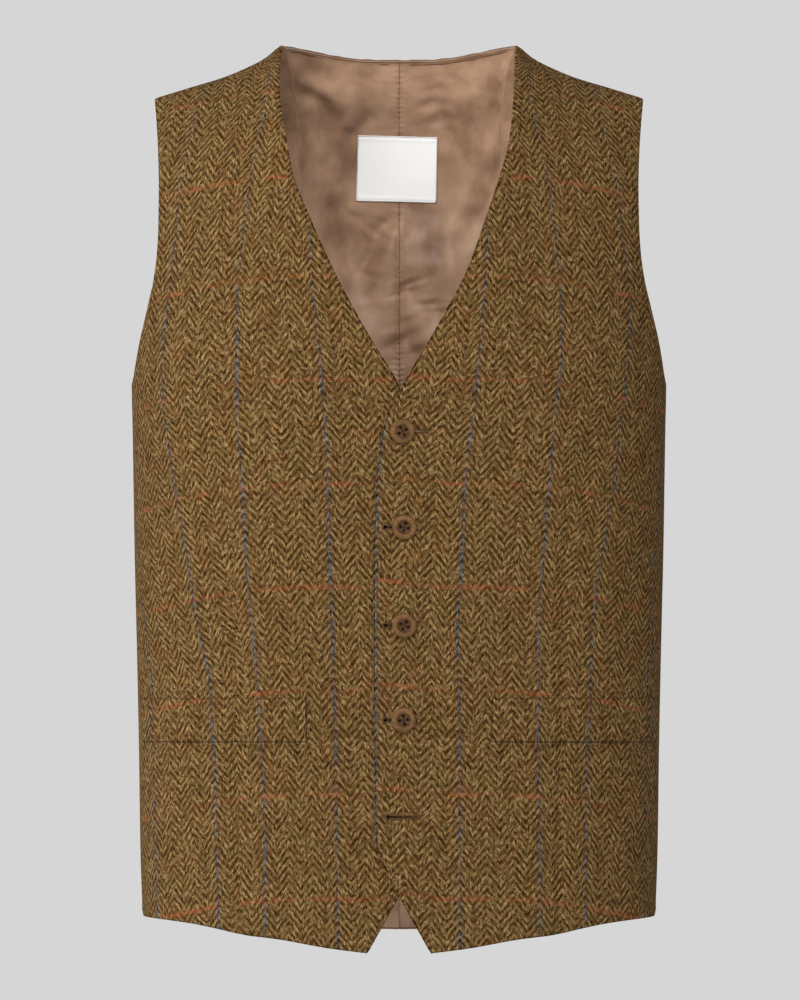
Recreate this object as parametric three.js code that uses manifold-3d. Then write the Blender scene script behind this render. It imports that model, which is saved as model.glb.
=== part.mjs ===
// A single-breasted suit waistcoat in heavy wool tweed with a satin back, filled out as if worn.
// Millimetres. +Z is up, the front faces -Y, and +X is the wearer's left, the side that buttons over.
// The origin is midway between the shoulders, at the height of the middle of a shoulder seam.
import * as THREE from "three";
import { mergeVertices } from "three/addons/utils/BufferGeometryUtils.js";
import Module from "manifold-3d";

const wasm = await Module();
wasm.setup();

// Cloth walls and the gaps between the pieces
const tweedWall = 2.5;
const satinWall = 1.0;
const labelWall = 0.6;
const weltWall = 1.6;
const seamGap = 0.3;
const overlapGap = 0.5;
const labelGap = 0.7;

// The general figure that the garment is filled out to
const roundness = 2.3;
const widestHalf = 187.2;
const shoulderDrop = 190;
const shoulderArc = (shoulderDrop * Math.PI) / 2;
const sideSeamAngle = 92;
const underarmHeight = -214;
const neckPointHalf = 82.6;
const degree = Math.PI / 180;

// Horizontal sections from hem to shoulder: half width, and depths ahead of and behind the side seams
const sections = [
  { z: -640, half: 178.2, front: 110, back: 108 },
  { z: -584, half: 179.5, front: 109, back: 106 },
  { z: -539, half: 181, front: 107.5, back: 102 },
  { z: -469, half: 182, front: 106, back: 96.5 },
  { z: -400, half: 183.4, front: 106.5, back: 95 },
  { z: -328, half: 185.1, front: 110.5, back: 99 },
  { z: -253, half: 186.3, front: 116, back: 106 },
  { z: -200, half: widestHalf, front: 118.5, back: 109.5 },
  { z: -120, half: widestHalf, front: 117, back: 110 },
  { z: 70, half: widestHalf, front: 114, back: 108 },
];

// The top line of the shoulders, seen from the front, and its run in under the neck
const shoulderLine = [
  { x: 0, z: 62 },
  { x: 45, z: 47 },
  { x: 70, z: 33.2 },
  { x: neckPointHalf, z: 24.2 },
  { x: 95, z: 14.5 },
  { x: 110, z: 7 },
  { x: 124, z: 1.4 },
  { x: 146, z: -5.2 },
  { x: 170, z: -12.6 },
  { x: 200, z: -22 },
];

// Front edges from the neck points to the pointed hem: distance from the centre line to each front's
// own side, negative where the front crosses the centre to lap over or under the other one
const frontEdges = [
  { z: -607.4, over: 22.3, under: 22.3 },
  { z: -562.4, over: -2.8, under: -2.8 },
  { z: -556, over: -6.2, under: -6.2 },
  { z: -529, over: -15.9, under: -15.9 },
  { z: -474, over: -16.6, under: -16.6 },
  { z: -335, over: -17.3, under: -17.3 },
  { z: -280, over: -15.2, under: -15.2 },
  { z: -252, over: -11.8, under: -11.8 },
  { z: -234, over: -7.6, under: -7.6 },
  { z: -220, over: 0.6, under: -1.2 },
  { z: -211, over: 4.9, under: 2.4 },
  { z: -189.4, over: 18, under: 15.8 },
  { z: -165.6, over: 31.5, under: 29.8 },
  { z: -136.4, over: 47.1, under: 45.3 },
  { z: -99.1, over: 60.7, under: 62.1 },
  { z: -66.9, over: 71.4, under: 74.8 },
  { z: -48, over: 76.8, under: 78.2 },
  { z: -18.3, over: 80.5, under: 83.1 },
  { z: -4.7, over: 81.3, under: 84.4 },
  { z: 11.5, over: 82.1, under: 84.4 },
  { z: 24.2, over: neckPointHalf, under: neckPointHalf },
];

// Lower edge of a front, from its point round to the side seam
const frontHem = [
  { x: 22.3, z: -607.4 },
  { x: 48, z: -604.1 },
  { x: 83.1, z: -598 },
  { x: 108.9, z: -594.9 },
  { x: 126.7, z: -591 },
  { x: 144.5, z: -587.7 },
  { x: 162.6, z: -585.6 },
  { x: 179.5, z: -584.2 },
];

// Waist dart of each front, carried on above its tip as the line that the cloth's rows are laid to
const dartLine = [
  { z: -600, x: 111.5 },
  { z: -412, x: 113.5 },
  { z: -363, x: 115 },
  { z: -308, x: 118.6 },
  { z: -273, x: 125.5 },
  { z: -220, x: 127 },
  { z: 0, x: 127 },
];
const dartTip = -270;
const dartDepth = 1.1;
const dartHalfWidth = 6;
const dartRun = 60;

// Armhole edges as the angle round from the centre front, in degrees
const frontArmhole = [
  { z: underarmHeight, angle: sideSeamAngle },
  { z: -211.5, angle: 85.5 },
  { z: -206, angle: 82 },
  { z: -194.5, angle: 78 },
  { z: -184.5, angle: 75.1 },
  { z: -168, angle: 70.4 },
  { z: -155, angle: 67.3 },
  { z: -141, angle: 64.5 },
  { z: -121, angle: 62.4 },
  { z: -103, angle: 61.7 },
  { z: -76, angle: 61.5 },
  { z: -49, angle: 62.1 },
  { z: -13, angle: 64 },
];
const backArmhole = [
  { z: underarmHeight, angle: sideSeamAngle },
  { z: -211.5, angle: 98.5 },
  { z: -206, angle: 102.5 },
  { z: -192, angle: 109 },
  { z: -170, angle: 115.5 },
  { z: -140, angle: 121.5 },
  { z: -100, angle: 124 },
  { z: -50, angle: 121 },
  { z: -13, angle: 116 },
];

// Heights between which the rows of cloth are closer together, to round the bottom of the armholes
const armholeStops = [-140, -185, -203, -211];

// Back neckline and back hem, from the centre back out to one side
const backNeckline = [
  { x: 0, z: 15.8 },
  { x: 22, z: 16 },
  { x: 37, z: 17.2 },
  { x: 51, z: 19.5 },
  { x: 61, z: 21.3 },
  { x: 71, z: 23.2 },
  { x: 79, z: 24.2 },
  { x: neckPointHalf, z: 24.2 },
];
const backHem = [
  { x: 0, z: -597.2 },
  { x: 60, z: -596 },
  { x: 120, z: -591 },
  { x: 179.5, z: -584.2 },
];

// Lap of the fronts: the under front sinks behind the over front between these two distances
const lapNear = 24;
const lapFar = 66;
const lapTopHeight = -220;

// Buttonholes down the over front, and where each button's centre sits in its hole
const buttonRows = [
  { z: -246.3, hole: 7.5, button: 2.6 },
  { z: -312.7, hole: 0, button: 3.9 },
  { z: -380.8, hole: 0, button: 3.9 },
  { z: -446.4, hole: 0, button: 3.4 },
  { z: -513.6, hole: 2, button: null },
];
const buttonholeLength = 24;
const buttonholeWidth = 2.2;
const buttonholeEye = 3.6;
const buttonRadius = 8.6;
const buttonHeight = 3.2;
const buttonShankRadius = 0.8;
const threadHoleRadius = 0.95;
const threadHoleOffset = 1.9;

// Welt pockets: the strip's ends and its slope, on each front
const welt = { inner: 64.5, outer: 177.5, innerTop: -431.5, outerTop: -432.5, height: 29.5 };

// Label on the back lining, turned a little as it hangs
const label = { x: -1.2, z: -60.2, width: 56.5, height: 46.5, turn: -1.4 };

// Finish of each cloth and of the buttons
const finishes = {
  tweed: { color: 0x74592f, roughness: 0.95, metalness: 0 },
  satin: { color: 0x9a7a64, roughness: 0.42, metalness: 0 },
  tape: { color: 0xf0f0ec, roughness: 0.7, metalness: 0 },
  horn: { color: 0x7a5a3f, roughness: 0.5, metalness: 0 },
};

// A smooth curve through a table's rows that never overshoots them, as a function of one column
function curveThrough(rows, from, to) {
  const knots = [...rows].sort((a, b) => a[from] - b[from]);
  const rise = (k) => (knots[k + 1][to] - knots[k][to]) / (knots[k + 1][from] - knots[k][from]);
  const slopes = knots.map((_, k) => {
    if (k === 0) return rise(0);
    if (k === knots.length - 1) return rise(k - 1);
    const before = rise(k - 1);
    const after = rise(k);
    return before * after <= 0 ? 0 : (2 * before * after) / (before + after);
  });
  return (value) => {
    const first = knots[0];
    const last = knots[knots.length - 1];
    if (value <= first[from]) return first[to] + slopes[0] * (value - first[from]);
    if (value >= last[from]) return last[to] + slopes[knots.length - 1] * (value - last[from]);
    const k = knots.findIndex((knot) => knot[from] > value) - 1;
    const span = knots[k + 1][from] - knots[k][from];
    const t = (value - knots[k][from]) / span;
    const ease = t * t * (3 - 2 * t);
    const leave = t * (1 - t) * (1 - t) * span * slopes[k];
    const arrive = t * t * (t - 1) * span * slopes[k + 1];
    return knots[k][to] * (1 - ease) + knots[k + 1][to] * ease + leave + arrive;
  };
}

const halfWidth = curveThrough(sections, "z", "half");
const frontDepth = curveThrough(sections, "z", "front");
const backDepth = curveThrough(sections, "z", "back");
const ridgeHeight = curveThrough(shoulderLine, "x", "z");
const frontHemHeight = curveThrough(frontHem, "x", "z");
const backHemHeight = curveThrough(backHem, "x", "z");
const necklineHeight = curveThrough(backNeckline, "x", "z");
const dartHalf = curveThrough(dartLine, "z", "x");

const smooth = (t) => t * t * (3 - 2 * t);
const fade = (near, far, value) => 1 - smooth(THREE.MathUtils.clamp((value - near) / (far - near), 0, 1));

// Share of the half width and of the depth at an angle round the section, 0 at the centre front
function sectionShare(value) {
  return Math.sign(value) * Math.abs(value) ** (2 / roundness);
}

// A point of the filled-out garment: the angle round it, and the length of cloth below the shoulder
// ridge. A reach below zero passes over the ridge, so that directions come out right on it.
function torsoPoint(angle, reach) {
  const across = sectionShare(Math.sin(angle));
  const lean = Math.min(reach / shoulderArc, 1) * 90 * degree;
  const rounded = shoulderDrop * (1 - Math.cos(lean));
  const z = ridgeHeight(Math.abs(across) * widestHalf) - rounded - Math.max(reach - shoulderArc, 0);
  const depth = Math.cos(angle) > 0 ? frontDepth(z) : backDepth(z);
  const y = -depth * Math.sin(lean) * sectionShare(Math.cos(angle));
  return new THREE.Vector3(halfWidth(z) * across, y, z);
}

function torsoOutward(angle, reach) {
  const round = torsoPoint(angle + degree, reach).sub(torsoPoint(angle - degree, reach));
  const down = torsoPoint(angle, reach + 1).sub(torsoPoint(angle, reach - 1));
  return down.cross(round).normalize();
}

function angleAt(x, z, behind = false) {
  const turn = Math.asin(Math.min(Math.abs(x) / halfWidth(z), 1) ** (roundness / 2));
  return (x < 0 ? -1 : 1) * (behind ? Math.PI - turn : turn);
}

function reachAt(angle, z) {
  const across = Math.abs(sectionShare(Math.sin(angle)));
  const drop = Math.max(ridgeHeight(across * widestHalf) - z, 0);
  if (drop > shoulderDrop) return shoulderArc + drop - shoulderDrop;
  return (shoulderArc * Math.acos(1 - drop / shoulderDrop)) / (90 * degree);
}

// Where a line that is known by its angle at each height crosses a given reach
function angleOnLine(line, reach) {
  let angle = line(underarmHeight);
  for (let pass = 0; pass < 24; pass += 1) angle = line(torsoPoint(angle, reach).z);
  return angle;
}

// Values from the first to the last of a list of stops, each stretch cut into its number of steps
function stepsBetween(stops, counts) {
  const values = [stops[0]];
  counts.forEach((count, k) => {
    for (let i = 1; i <= count; i += 1) values.push(stops[k] + ((stops[k + 1] - stops[k]) * i) / count);
  });
  return values;
}

// Grid of places on one front. Columns: 0 is its front edge, 1 its dart line, 2 its side and armhole.
// Rows are shares of the length of cloth from the shoulder ridge, 0, to the hem, 1.
function frontPlaces(edgeColumn) {
  const edgeHalf = curveThrough(frontEdges, "z", edgeColumn);
  const armhole = curveThrough(frontArmhole, "z", "angle");
  const lines = [
    (z) => angleAt(edgeHalf(z), z),
    (z) => angleAt(dartHalf(z), z),
    (z) => (z < underarmHeight ? sideSeamAngle : armhole(z)) * degree,
  ];
  const hemHeights = [frontHem[0].z, frontHemHeight(dartLine[0].x), frontHem[frontHem.length - 1].z];
  const hemAngles = lines.map((line, k) => line(hemHeights[k]));
  const lineReaches = hemAngles.map((angle, k) => reachAt(angle, hemHeights[k]));
  const blend = (column, values) => {
    const k = column < 1 ? 0 : 1;
    return values[k] + (values[k + 1] - values[k]) * (column - k);
  };
  const hemReach = (column) => {
    const angle = blend(column, hemAngles);
    const x = sectionShare(Math.sin(Math.min(angle, 90 * degree))) * halfWidth(frontHem[0].z);
    return reachAt(angle, frontHemHeight(x));
  };
  const share = (line, z) => reachAt(lines[line](z), z) / lineReaches[line];
  const notch = share(0, frontEdges[1].z);
  const lapTop = share(0, lapTopHeight);
  const underarm = share(2, underarmHeight);
  const armholeTurns = armholeStops.map((z) => share(2, z));
  const rows = stepsBetween([0, ...armholeTurns, underarm, lapTop, notch, 1], [8, 2, 1, 1, 1, 2, 12, 2]);
  const columns = [
    ...stepsBetween([0, 0.96], [7]),
    ...stepsBetween([1, 1.04, 2], [1, 8]),
  ];
  return rows.map((row) => {
    const angles = lines.map((line, k) => angleOnLine(line, row * lineReaches[k]));
    return columns.map((column) => ({ angle: blend(column, angles), reach: row * hemReach(column) }));
  });
}

// Grid of places on one half of the back. Columns run from the centre seam to the side and armhole.
function backPlaces() {
  const armhole = curveThrough(backArmhole, "z", "angle");
  const sideLine = (z) => (z < underarmHeight ? sideSeamAngle : armhole(z)) * degree;
  const hemEnd = backHem[backHem.length - 1];
  const sideReach = reachAt(sideSeamAngle * degree, hemEnd.z);
  const tip = angleOnLine(sideLine, 0);
  const neckPoint = angleAt(neckPointHalf, 0, true);
  const neckColumn = (Math.PI - neckPoint) / (Math.PI - tip);
  const columns = stepsBetween([0, neckColumn, 1], [5, 8]);
  const share = (z) => reachAt(sideLine(z), z) / sideReach;
  const rows = stepsBetween([0, ...armholeStops.map(share), share(underarmHeight), 1], [9, 2, 1, 1, 1, 9]);
  const ends = columns.map((column) => {
    const top = Math.PI + (tip - Math.PI) * column;
    const bottom = Math.PI + (sideSeamAngle * degree - Math.PI) * column;
    const topX = sectionShare(Math.sin(top)) * widestHalf;
    const bottomX = sectionShare(Math.sin(Math.max(bottom, 90 * degree))) * hemEnd.x;
    return {
      top: column < neckColumn ? reachAt(top, necklineHeight(topX)) : 0,
      bottom: reachAt(bottom, backHemHeight(bottomX)),
    };
  });
  return rows.map((row) => {
    const side = angleOnLine(sideLine, row * sideReach);
    return columns.map((column, k) => ({
      angle: Math.PI + (side - Math.PI) * column,
      reach: ends[k].top + row * (ends[k].bottom - ends[k].top),
    }));
  });
}

// Grid of places on a four-cornered patch, its corners given as x and z and its columns evenly spaced
// round the section. Behind is true for a patch on the back.
function patchPlaces(corners, steps, behind = false) {
  const turns = corners.map(({ x, y: z }) => new THREE.Vector2(angleAt(x, z), z));
  const rows = stepsBetween([0, 1], [steps.down]);
  const columns = stepsBetween([0, 1], [steps.across]);
  return rows.map((row) =>
    columns.map((column) => {
      const top = turns[0].clone().lerp(turns[1], column);
      const bottom = turns[2].clone().lerp(turns[3], column);
      const { x: turn, y: z } = top.lerp(bottom, row);
      const angle = behind ? (turn < 0 ? -1 : 1) * Math.PI - turn : turn;
      return { angle, reach: reachAt(angle, z) };
    }),
  );
}

// Moves each place of a grid out by its lift, mirrored to the wearer's right where side is -1
function liftGrid(places, side, lift) {
  return places.map((row) =>
    row.map(({ angle, reach }) => {
      const point = torsoPoint(angle, reach);
      point.addScaledVector(torsoOutward(angle, reach), lift(point));
      point.x *= side;
      return point;
    }),
  );
}

// Opens the seams: half the gap is taken from each piece along the shoulder and side seams
function openSeams(grid, towards) {
  const last = grid[0].length - 1;
  grid[0].forEach((point) => {
    if (Math.abs(point.x) > neckPointHalf - 1) point.y += (towards * seamGap) / 2;
  });
  grid.slice(1).forEach((row) => {
    row[last].y += (towards * seamGap) / 2;
  });
  return grid;
}

// Draws the centre edge of a back piece half the gap away from the centre seam
function openCentre(grid, side) {
  grid.forEach((row) => {
    row[0].x = (side * seamGap) / 2;
  });
  return grid;
}

// A closed wall between an outer and an inner grid of points
function wallGeometry(outer, inner) {
  const rows = outer.length;
  const columns = outer[0].length;
  const positions = [...outer, ...inner].flatMap((row) => row.flatMap((point) => point.toArray()));
  const index = [];
  const at = (layer, row, column) => (layer * rows + row) * columns + column;
  const quad = (a, b, c, d) => index.push(a, b, c, a, c, d);
  for (let i = 0; i + 1 < rows; i += 1) {
    for (let j = 0; j + 1 < columns; j += 1) {
      quad(at(0, i, j), at(0, i + 1, j), at(0, i + 1, j + 1), at(0, i, j + 1));
      quad(at(1, i, j), at(1, i, j + 1), at(1, i + 1, j + 1), at(1, i + 1, j));
    }
    quad(at(0, i + 1, 0), at(0, i, 0), at(1, i, 0), at(1, i + 1, 0));
    quad(at(0, i, columns - 1), at(0, i + 1, columns - 1), at(1, i + 1, columns - 1), at(1, i, columns - 1));
  }
  for (let j = 0; j + 1 < columns; j += 1) {
    quad(at(0, 0, j), at(0, 0, j + 1), at(1, 0, j + 1), at(1, 0, j));
    quad(at(0, rows - 1, j + 1), at(0, rows - 1, j), at(1, rows - 1, j), at(1, rows - 1, j + 1));
  }
  const geometry = new THREE.BufferGeometry();
  geometry.setAttribute("position", new THREE.Float32BufferAttribute(positions, 3));
  geometry.setIndex(index);
  return facingOut(geometry);
}

// Six times the volume that the triangles enclose, negative when they face inwards
function signedVolume(geometry) {
  const points = geometry.getAttribute("position");
  const [a, b, c] = [new THREE.Vector3(), new THREE.Vector3(), new THREE.Vector3()];
  let total = 0;
  for (let k = 0; k < geometry.index.count; k += 3) {
    a.fromBufferAttribute(points, geometry.index.getX(k));
    b.fromBufferAttribute(points, geometry.index.getX(k + 1));
    c.fromBufferAttribute(points, geometry.index.getX(k + 2));
    total += a.dot(b.cross(c));
  }
  return total;
}

function facingOut(geometry) {
  if (signedVolume(geometry) < 0) geometry.index.array.reverse();
  return geometry;
}

// Exchange between three.js geometry and solids that can be cut
function toSolid(geometry) {
  const bare = geometry.clone();
  bare.deleteAttribute("normal");
  bare.deleteAttribute("uv");
  const merged = facingOut(mergeVertices(bare, 1e-4));
  const mesh = new wasm.Mesh({
    numProp: 3,
    vertProperties: new Float32Array(merged.getAttribute("position").array),
    triVerts: new Uint32Array(merged.index.array),
  });
  return new wasm.Manifold(mesh);
}

function toGeometry(solid) {
  const mesh = solid.getMesh();
  const geometry = new THREE.BufferGeometry();
  geometry.setAttribute("position", new THREE.BufferAttribute(new Float32Array(mesh.vertProperties), 3));
  geometry.setIndex(new THREE.BufferAttribute(new Uint32Array(mesh.triVerts), 1));
  return geometry;
}

function meshOf(name, geometry, finish) {
  const mesh = new THREE.Mesh(geometry, new THREE.MeshStandardMaterial(finish));
  mesh.name = name;
  return mesh;
}

// Pinch of the waist dart, deepest below its tip
function dartPinch(point) {
  const away = Math.abs(Math.abs(point.x) - dartHalf(point.z));
  const below = 1 - fade(0, dartRun, dartTip - point.z);
  return point.y < 0 ? -dartDepth * below * fade(0, dartHalfWidth, away) : 0;
}

// Sink of the under front behind the over front
function lapSink(point) {
  return -(tweedWall + overlapGap) * fade(lapNear, lapFar, point.x);
}

const noLift = () => 0;

function frontSolid(edgeColumn, side, sink) {
  const places = frontPlaces(edgeColumn);
  const surface = (offset) => {
    const grid = liftGrid(places, side, (point) => sink(point) + dartPinch(point) + offset);
    return openSeams(grid, -1);
  };
  return wallGeometry(surface(0), surface(-tweedWall));
}

function backSolid(side, outside, thickness) {
  const places = backPlaces();
  const surface = (offset) => openCentre(openSeams(liftGrid(places, side, () => offset), 1), side);
  return wallGeometry(surface(outside), surface(outside - thickness));
}

// Keyhole buttonhole as a tool that passes straight through the over front
function buttonholeTool({ z, hole }) {
  const left = hole - buttonholeLength / 2;
  const right = hole + buttonholeLength / 2;
  const half = buttonholeWidth / 2;
  const eye = buttonholeEye / 2;
  const eyeCentre = left + eye;
  const open = Math.asin(half / eye);
  const outline = new THREE.Shape();
  outline.moveTo(right, z - half);
  outline.lineTo(right, z + half);
  outline.absarc(eyeCentre, z, eye, open, 2 * Math.PI - open, false);
  outline.closePath();
  const through = 16 * tweedWall;
  const settings = { depth: through, bevelEnabled: false, curveSegments: 6 };
  const geometry = new THREE.ExtrudeGeometry(outline, settings);
  geometry.rotateX(90 * degree);
  geometry.translate(0, -frontDepth(z) + through / 2, 0);
  return toSolid(geometry);
}

// A four-hole button with a raised rim, on the stub of thread that reaches through the buttonhole
function buttonSolid({ z, button }) {
  const shank = tweedWall + overlapGap;
  const profile = [
    { r: 0, h: -shank },
    { r: buttonShankRadius, h: -shank },
    { r: buttonShankRadius, h: 0 },
    { r: buttonRadius - 1.6, h: 0 },
    { r: buttonRadius - 0.3, h: 0.9 },
    { r: buttonRadius, h: 1.7 },
    { r: buttonRadius - 0.5, h: 2.8 },
    { r: buttonRadius - 1.4, h: buttonHeight },
    { r: buttonRadius - 2.4, h: 2.8 },
    { r: buttonRadius - 3.1, h: 2.1 },
    { r: 0, h: 1.9 },
  ];
  const points = profile.map(({ r, h }) => new THREE.Vector2(r, h));
  let solid = toSolid(new THREE.LatheGeometry(points, 20));
  for (const [u, v] of [[-1, -1], [1, -1], [1, 1], [-1, 1]]) {
    const drill = new THREE.CylinderGeometry(threadHoleRadius, threadHoleRadius, 4 * buttonHeight, 8);
    drill.translate(u * threadHoleOffset, 0, v * threadHoleOffset);
    solid = solid.subtract(toSolid(drill));
  }
  const geometry = toGeometry(solid);
  const angle = angleAt(button, z);
  const reach = reachAt(angle, z);
  const out = torsoOutward(angle, reach);
  const seat = torsoPoint(angle, reach).addScaledVector(out, seamGap);
  geometry.applyQuaternion(new THREE.Quaternion().setFromUnitVectors(new THREE.Vector3(0, 1, 0), out));
  geometry.translate(seat.x, seat.y, seat.z);
  return geometry;
}

function weltSolid(side, sink) {
  const corners = [
    new THREE.Vector2(welt.inner, welt.innerTop),
    new THREE.Vector2(welt.outer, welt.outerTop),
    new THREE.Vector2(welt.inner, welt.innerTop - welt.height),
    new THREE.Vector2(welt.outer, welt.outerTop - welt.height),
  ];
  const places = patchPlaces(corners, { across: 12, down: 2 });
  const surface = (offset) => liftGrid(places, side, (point) => sink(point) + seamGap + offset);
  return wallGeometry(surface(weltWall), surface(0));
}

function labelSolid() {
  const centre = new THREE.Vector2(label.x, label.z);
  const corners = [[-1, 1], [1, 1], [-1, -1], [1, -1]].map(([u, v]) => {
    const corner = new THREE.Vector2((u * label.width) / 2, (v * label.height) / 2).add(centre);
    return corner.rotateAround(centre, label.turn * degree);
  });
  const places = patchPlaces(corners, { across: 6, down: 4 }, true);
  const liningInside = -(satinWall + seamGap + satinWall + labelGap);
  const surface = (offset) => liftGrid(places, 1, () => liningInside + offset);
  return wallGeometry(surface(0), surface(-labelWall));
}

const group = new THREE.Group();

const overFront = buttonRows.reduce(
  (solid, row) => solid.subtract(buttonholeTool(row)),
  toSolid(frontSolid("over", 1, noLift)),
);
group.add(meshOf("front_left", toGeometry(overFront), finishes.tweed));
group.add(meshOf("front_right", frontSolid("under", -1, lapSink), finishes.tweed));
group.add(meshOf("welt_left", weltSolid(1, noLift), finishes.tweed));
group.add(meshOf("welt_right", weltSolid(-1, lapSink), finishes.tweed));

for (const [word, side] of [["left", 1], ["right", -1]]) {
  group.add(meshOf(`back_${word}`, backSolid(side, 0, satinWall), finishes.satin));
  const liningOutside = -(satinWall + seamGap);
  group.add(meshOf(`back_lining_${word}`, backSolid(side, liningOutside, satinWall), finishes.satin));
}
group.add(meshOf("label", labelSolid(), finishes.tape));

buttonRows
  .filter((row) => row.button !== null)
  .forEach((row, k) => group.add(meshOf(`button_${k + 1}`, buttonSolid(row), finishes.horn)));

export default group;
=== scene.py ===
"""Dresses the suit waistcoat: herringbone tweed fronts, satin back and lining, label, buttons, sewing.

Sizes in the tables are millimetres, as a maker writes them, and every mesh is made in metres.
The wearer's left front buttons over the right one. The cloth is laid on the same figure as the solids.
"""

import logging
from collections.abc import Callable, Sequence
from dataclasses import dataclass
from enum import Enum

import bmesh
import bpy
import numpy as np
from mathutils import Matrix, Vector


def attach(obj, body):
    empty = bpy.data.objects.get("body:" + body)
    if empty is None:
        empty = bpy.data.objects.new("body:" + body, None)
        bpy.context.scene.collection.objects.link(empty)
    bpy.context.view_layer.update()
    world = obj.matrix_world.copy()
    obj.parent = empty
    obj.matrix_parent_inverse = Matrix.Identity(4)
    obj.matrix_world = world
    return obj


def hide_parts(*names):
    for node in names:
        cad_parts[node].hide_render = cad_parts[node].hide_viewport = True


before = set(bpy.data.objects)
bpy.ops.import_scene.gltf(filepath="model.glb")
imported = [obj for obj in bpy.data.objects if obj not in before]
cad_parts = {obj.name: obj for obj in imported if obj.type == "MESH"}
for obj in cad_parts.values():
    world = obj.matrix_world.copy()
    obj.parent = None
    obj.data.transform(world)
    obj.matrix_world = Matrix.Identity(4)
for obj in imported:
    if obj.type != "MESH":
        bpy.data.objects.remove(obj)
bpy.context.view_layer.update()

Array = np.ndarray
log = logging.getLogger("waistcoat")

MM = 0.001
DEGREE = np.pi / 180

# Cloth walls and gaps, as in the solids
TWEED_WALL = 2.5
SATIN_WALL = 1.0
SEAM_GAP = 0.3
OVERLAP_GAP = 0.5
LABEL_GAP = 0.7
# Rows of points round the rim of a wall
RIM_RINGS = 4

# Camera: a long lens at the height of the garment's middle, level, as the photograph was taken
CAMERA_DISTANCE = 10000.0
CAMERA_HEIGHT = -294.0

# Pane of the windowpane check: blue stripe to blue stripe, and red line to red line
PANE_WIDTH = 58.0
PANE_HEIGHT = 72.0
# Heights of one red line, and of the stretch where the blue stripes grow fainter
RED_LINE = -282.5
STRIPES_FADE = (-190.0, -90.0)

# Heights at which rows of cloth stop along the armhole, down to the underarm
ARMHOLE_STOPS = (-140, -185, -203, -211)

# Each button's row: z, middle of the hole, middle of the button or nothing, turn of the button in degrees
BUTTON_ROWS = (
    (-246.3, 7.5, 2.6, -17.0),
    (-312.7, 0.0, 3.9, 29.0),
    (-380.8, 0.0, 3.9, 21.0),
    (-446.4, 0.0, 3.4, -37.0),
    (-513.6, 2.0, None, 0.0),
)


class Side(Enum):
    """The two halves of the garment, by the sign of X."""

    LEFT = 1
    RIGHT = -1


class Rim(Enum):
    """How an edge of cloth ends: how far its rounded rim stands out, in millimetres."""

    FREE = 0.7
    SEAM = 0.1


def linear(code: str) -> tuple[float, float, float, float]:
    """Turns an sRGB hex colour to linear.

    Args:
        code: Six hex digits.

    Returns:
        Linear red, green and blue, with an alpha of 1.
    """
    parts = np.array([int(code[k : k + 2], 16) for k in (0, 2, 4)]) / 255
    flat = np.where(parts <= 0.04045, parts / 12.92, ((parts + 0.055) / 1.055) ** 2.4)
    return (*(float(part) for part in flat), 1.0)


def smooth(share: Array) -> Array:
    """Eases a share from 0 to 1, with level ends: 3t squared less 2t cubed, t held from 0 to 1."""
    held = np.clip(share, 0, 1)
    return held * held * (3 - 2 * held)


def fade(near: float, far: float, value: Array) -> Array:
    """Goes smoothly from 1 at near to 0 at far."""
    return 1 - smooth((value - near) / (far - near))


def bell(distance: Array, width: float) -> Array:
    """A soft ridge's height, 1 on its line: e to the power of minus (distance over width) squared."""
    return np.exp(-((distance / width) ** 2))


def steps_between(stops: Sequence[float], counts: Sequence[int]) -> Array:
    """Cuts each stretch between stops into its number of even steps.

    Args:
        stops: Values that are kept as they are.
        counts: Steps in each stretch, one fewer than the stops.

    Returns:
        All the values in order.
    """
    parts = [np.linspace(a, b, n + 1)[:-1] for a, b, n in zip(stops, stops[1:], counts)]
    return np.concatenate([*parts, [stops[-1]]])


class Curve:
    """A smooth line through a table's rows that never overshoots them.

    Between rows it is a cubic whose slope at each row is the harmonic mean of the slopes on either
    side, or level where they turn. Beyond the ends it runs on straight.
    """

    def __init__(self, rows: Sequence[Sequence[float]], start: int = 0, end: int = 1) -> None:
        """Takes the column start as the way along, and the column end as the value."""
        table = np.array(sorted(rows, key=lambda row: row[start]), float)
        self.at, self.value = table[:, start], table[:, end]
        rise = np.diff(self.value) / np.diff(self.at)
        before, after = rise[:-1], rise[1:]
        bends = before * after > 0
        total = np.where(bends, before + after, 1)
        inner = np.where(bends, 2 * before * after / total, 0)
        self.slope = np.concatenate([[rise[0]], inner, [rise[-1]]])

    def __call__(self, where: Array) -> Array:
        """Gives the value at each place of an array."""
        where = np.asarray(where, float)
        k = np.clip(np.searchsorted(self.at, where, side="right") - 1, 0, len(self.at) - 2)
        span = self.at[k + 1] - self.at[k]
        t = np.clip((where - self.at[k]) / span, 0, 1)
        ease = t * t * (3 - 2 * t)
        leave = t * (1 - t) ** 2 * span * self.slope[k]
        arrive = t * t * (t - 1) * span * self.slope[k + 1]
        inside = self.value[k] * (1 - ease) + self.value[k + 1] * ease + leave + arrive
        below = self.slope[0] * np.minimum(where - self.at[0], 0)
        above = self.slope[-1] * np.maximum(where - self.at[-1], 0)
        return inside + below + above


def unit(vectors: Array) -> Array:
    """Scales vectors in the last axis to a length of 1."""
    return vectors / np.maximum(np.linalg.norm(vectors, axis=-1, keepdims=True), 1e-12)


def lengths_along(points: Array, axis: int) -> Array:
    """Adds up the distances between neighbouring points of a grid along one of its axes, from 0."""
    steps = np.linalg.norm(np.diff(points, axis=axis), axis=-1)
    total = np.cumsum(steps, axis=axis)
    pad = [(0, 0), (0, 0)]
    pad[axis] = (1, 0)
    return np.pad(total, pad)


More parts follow.
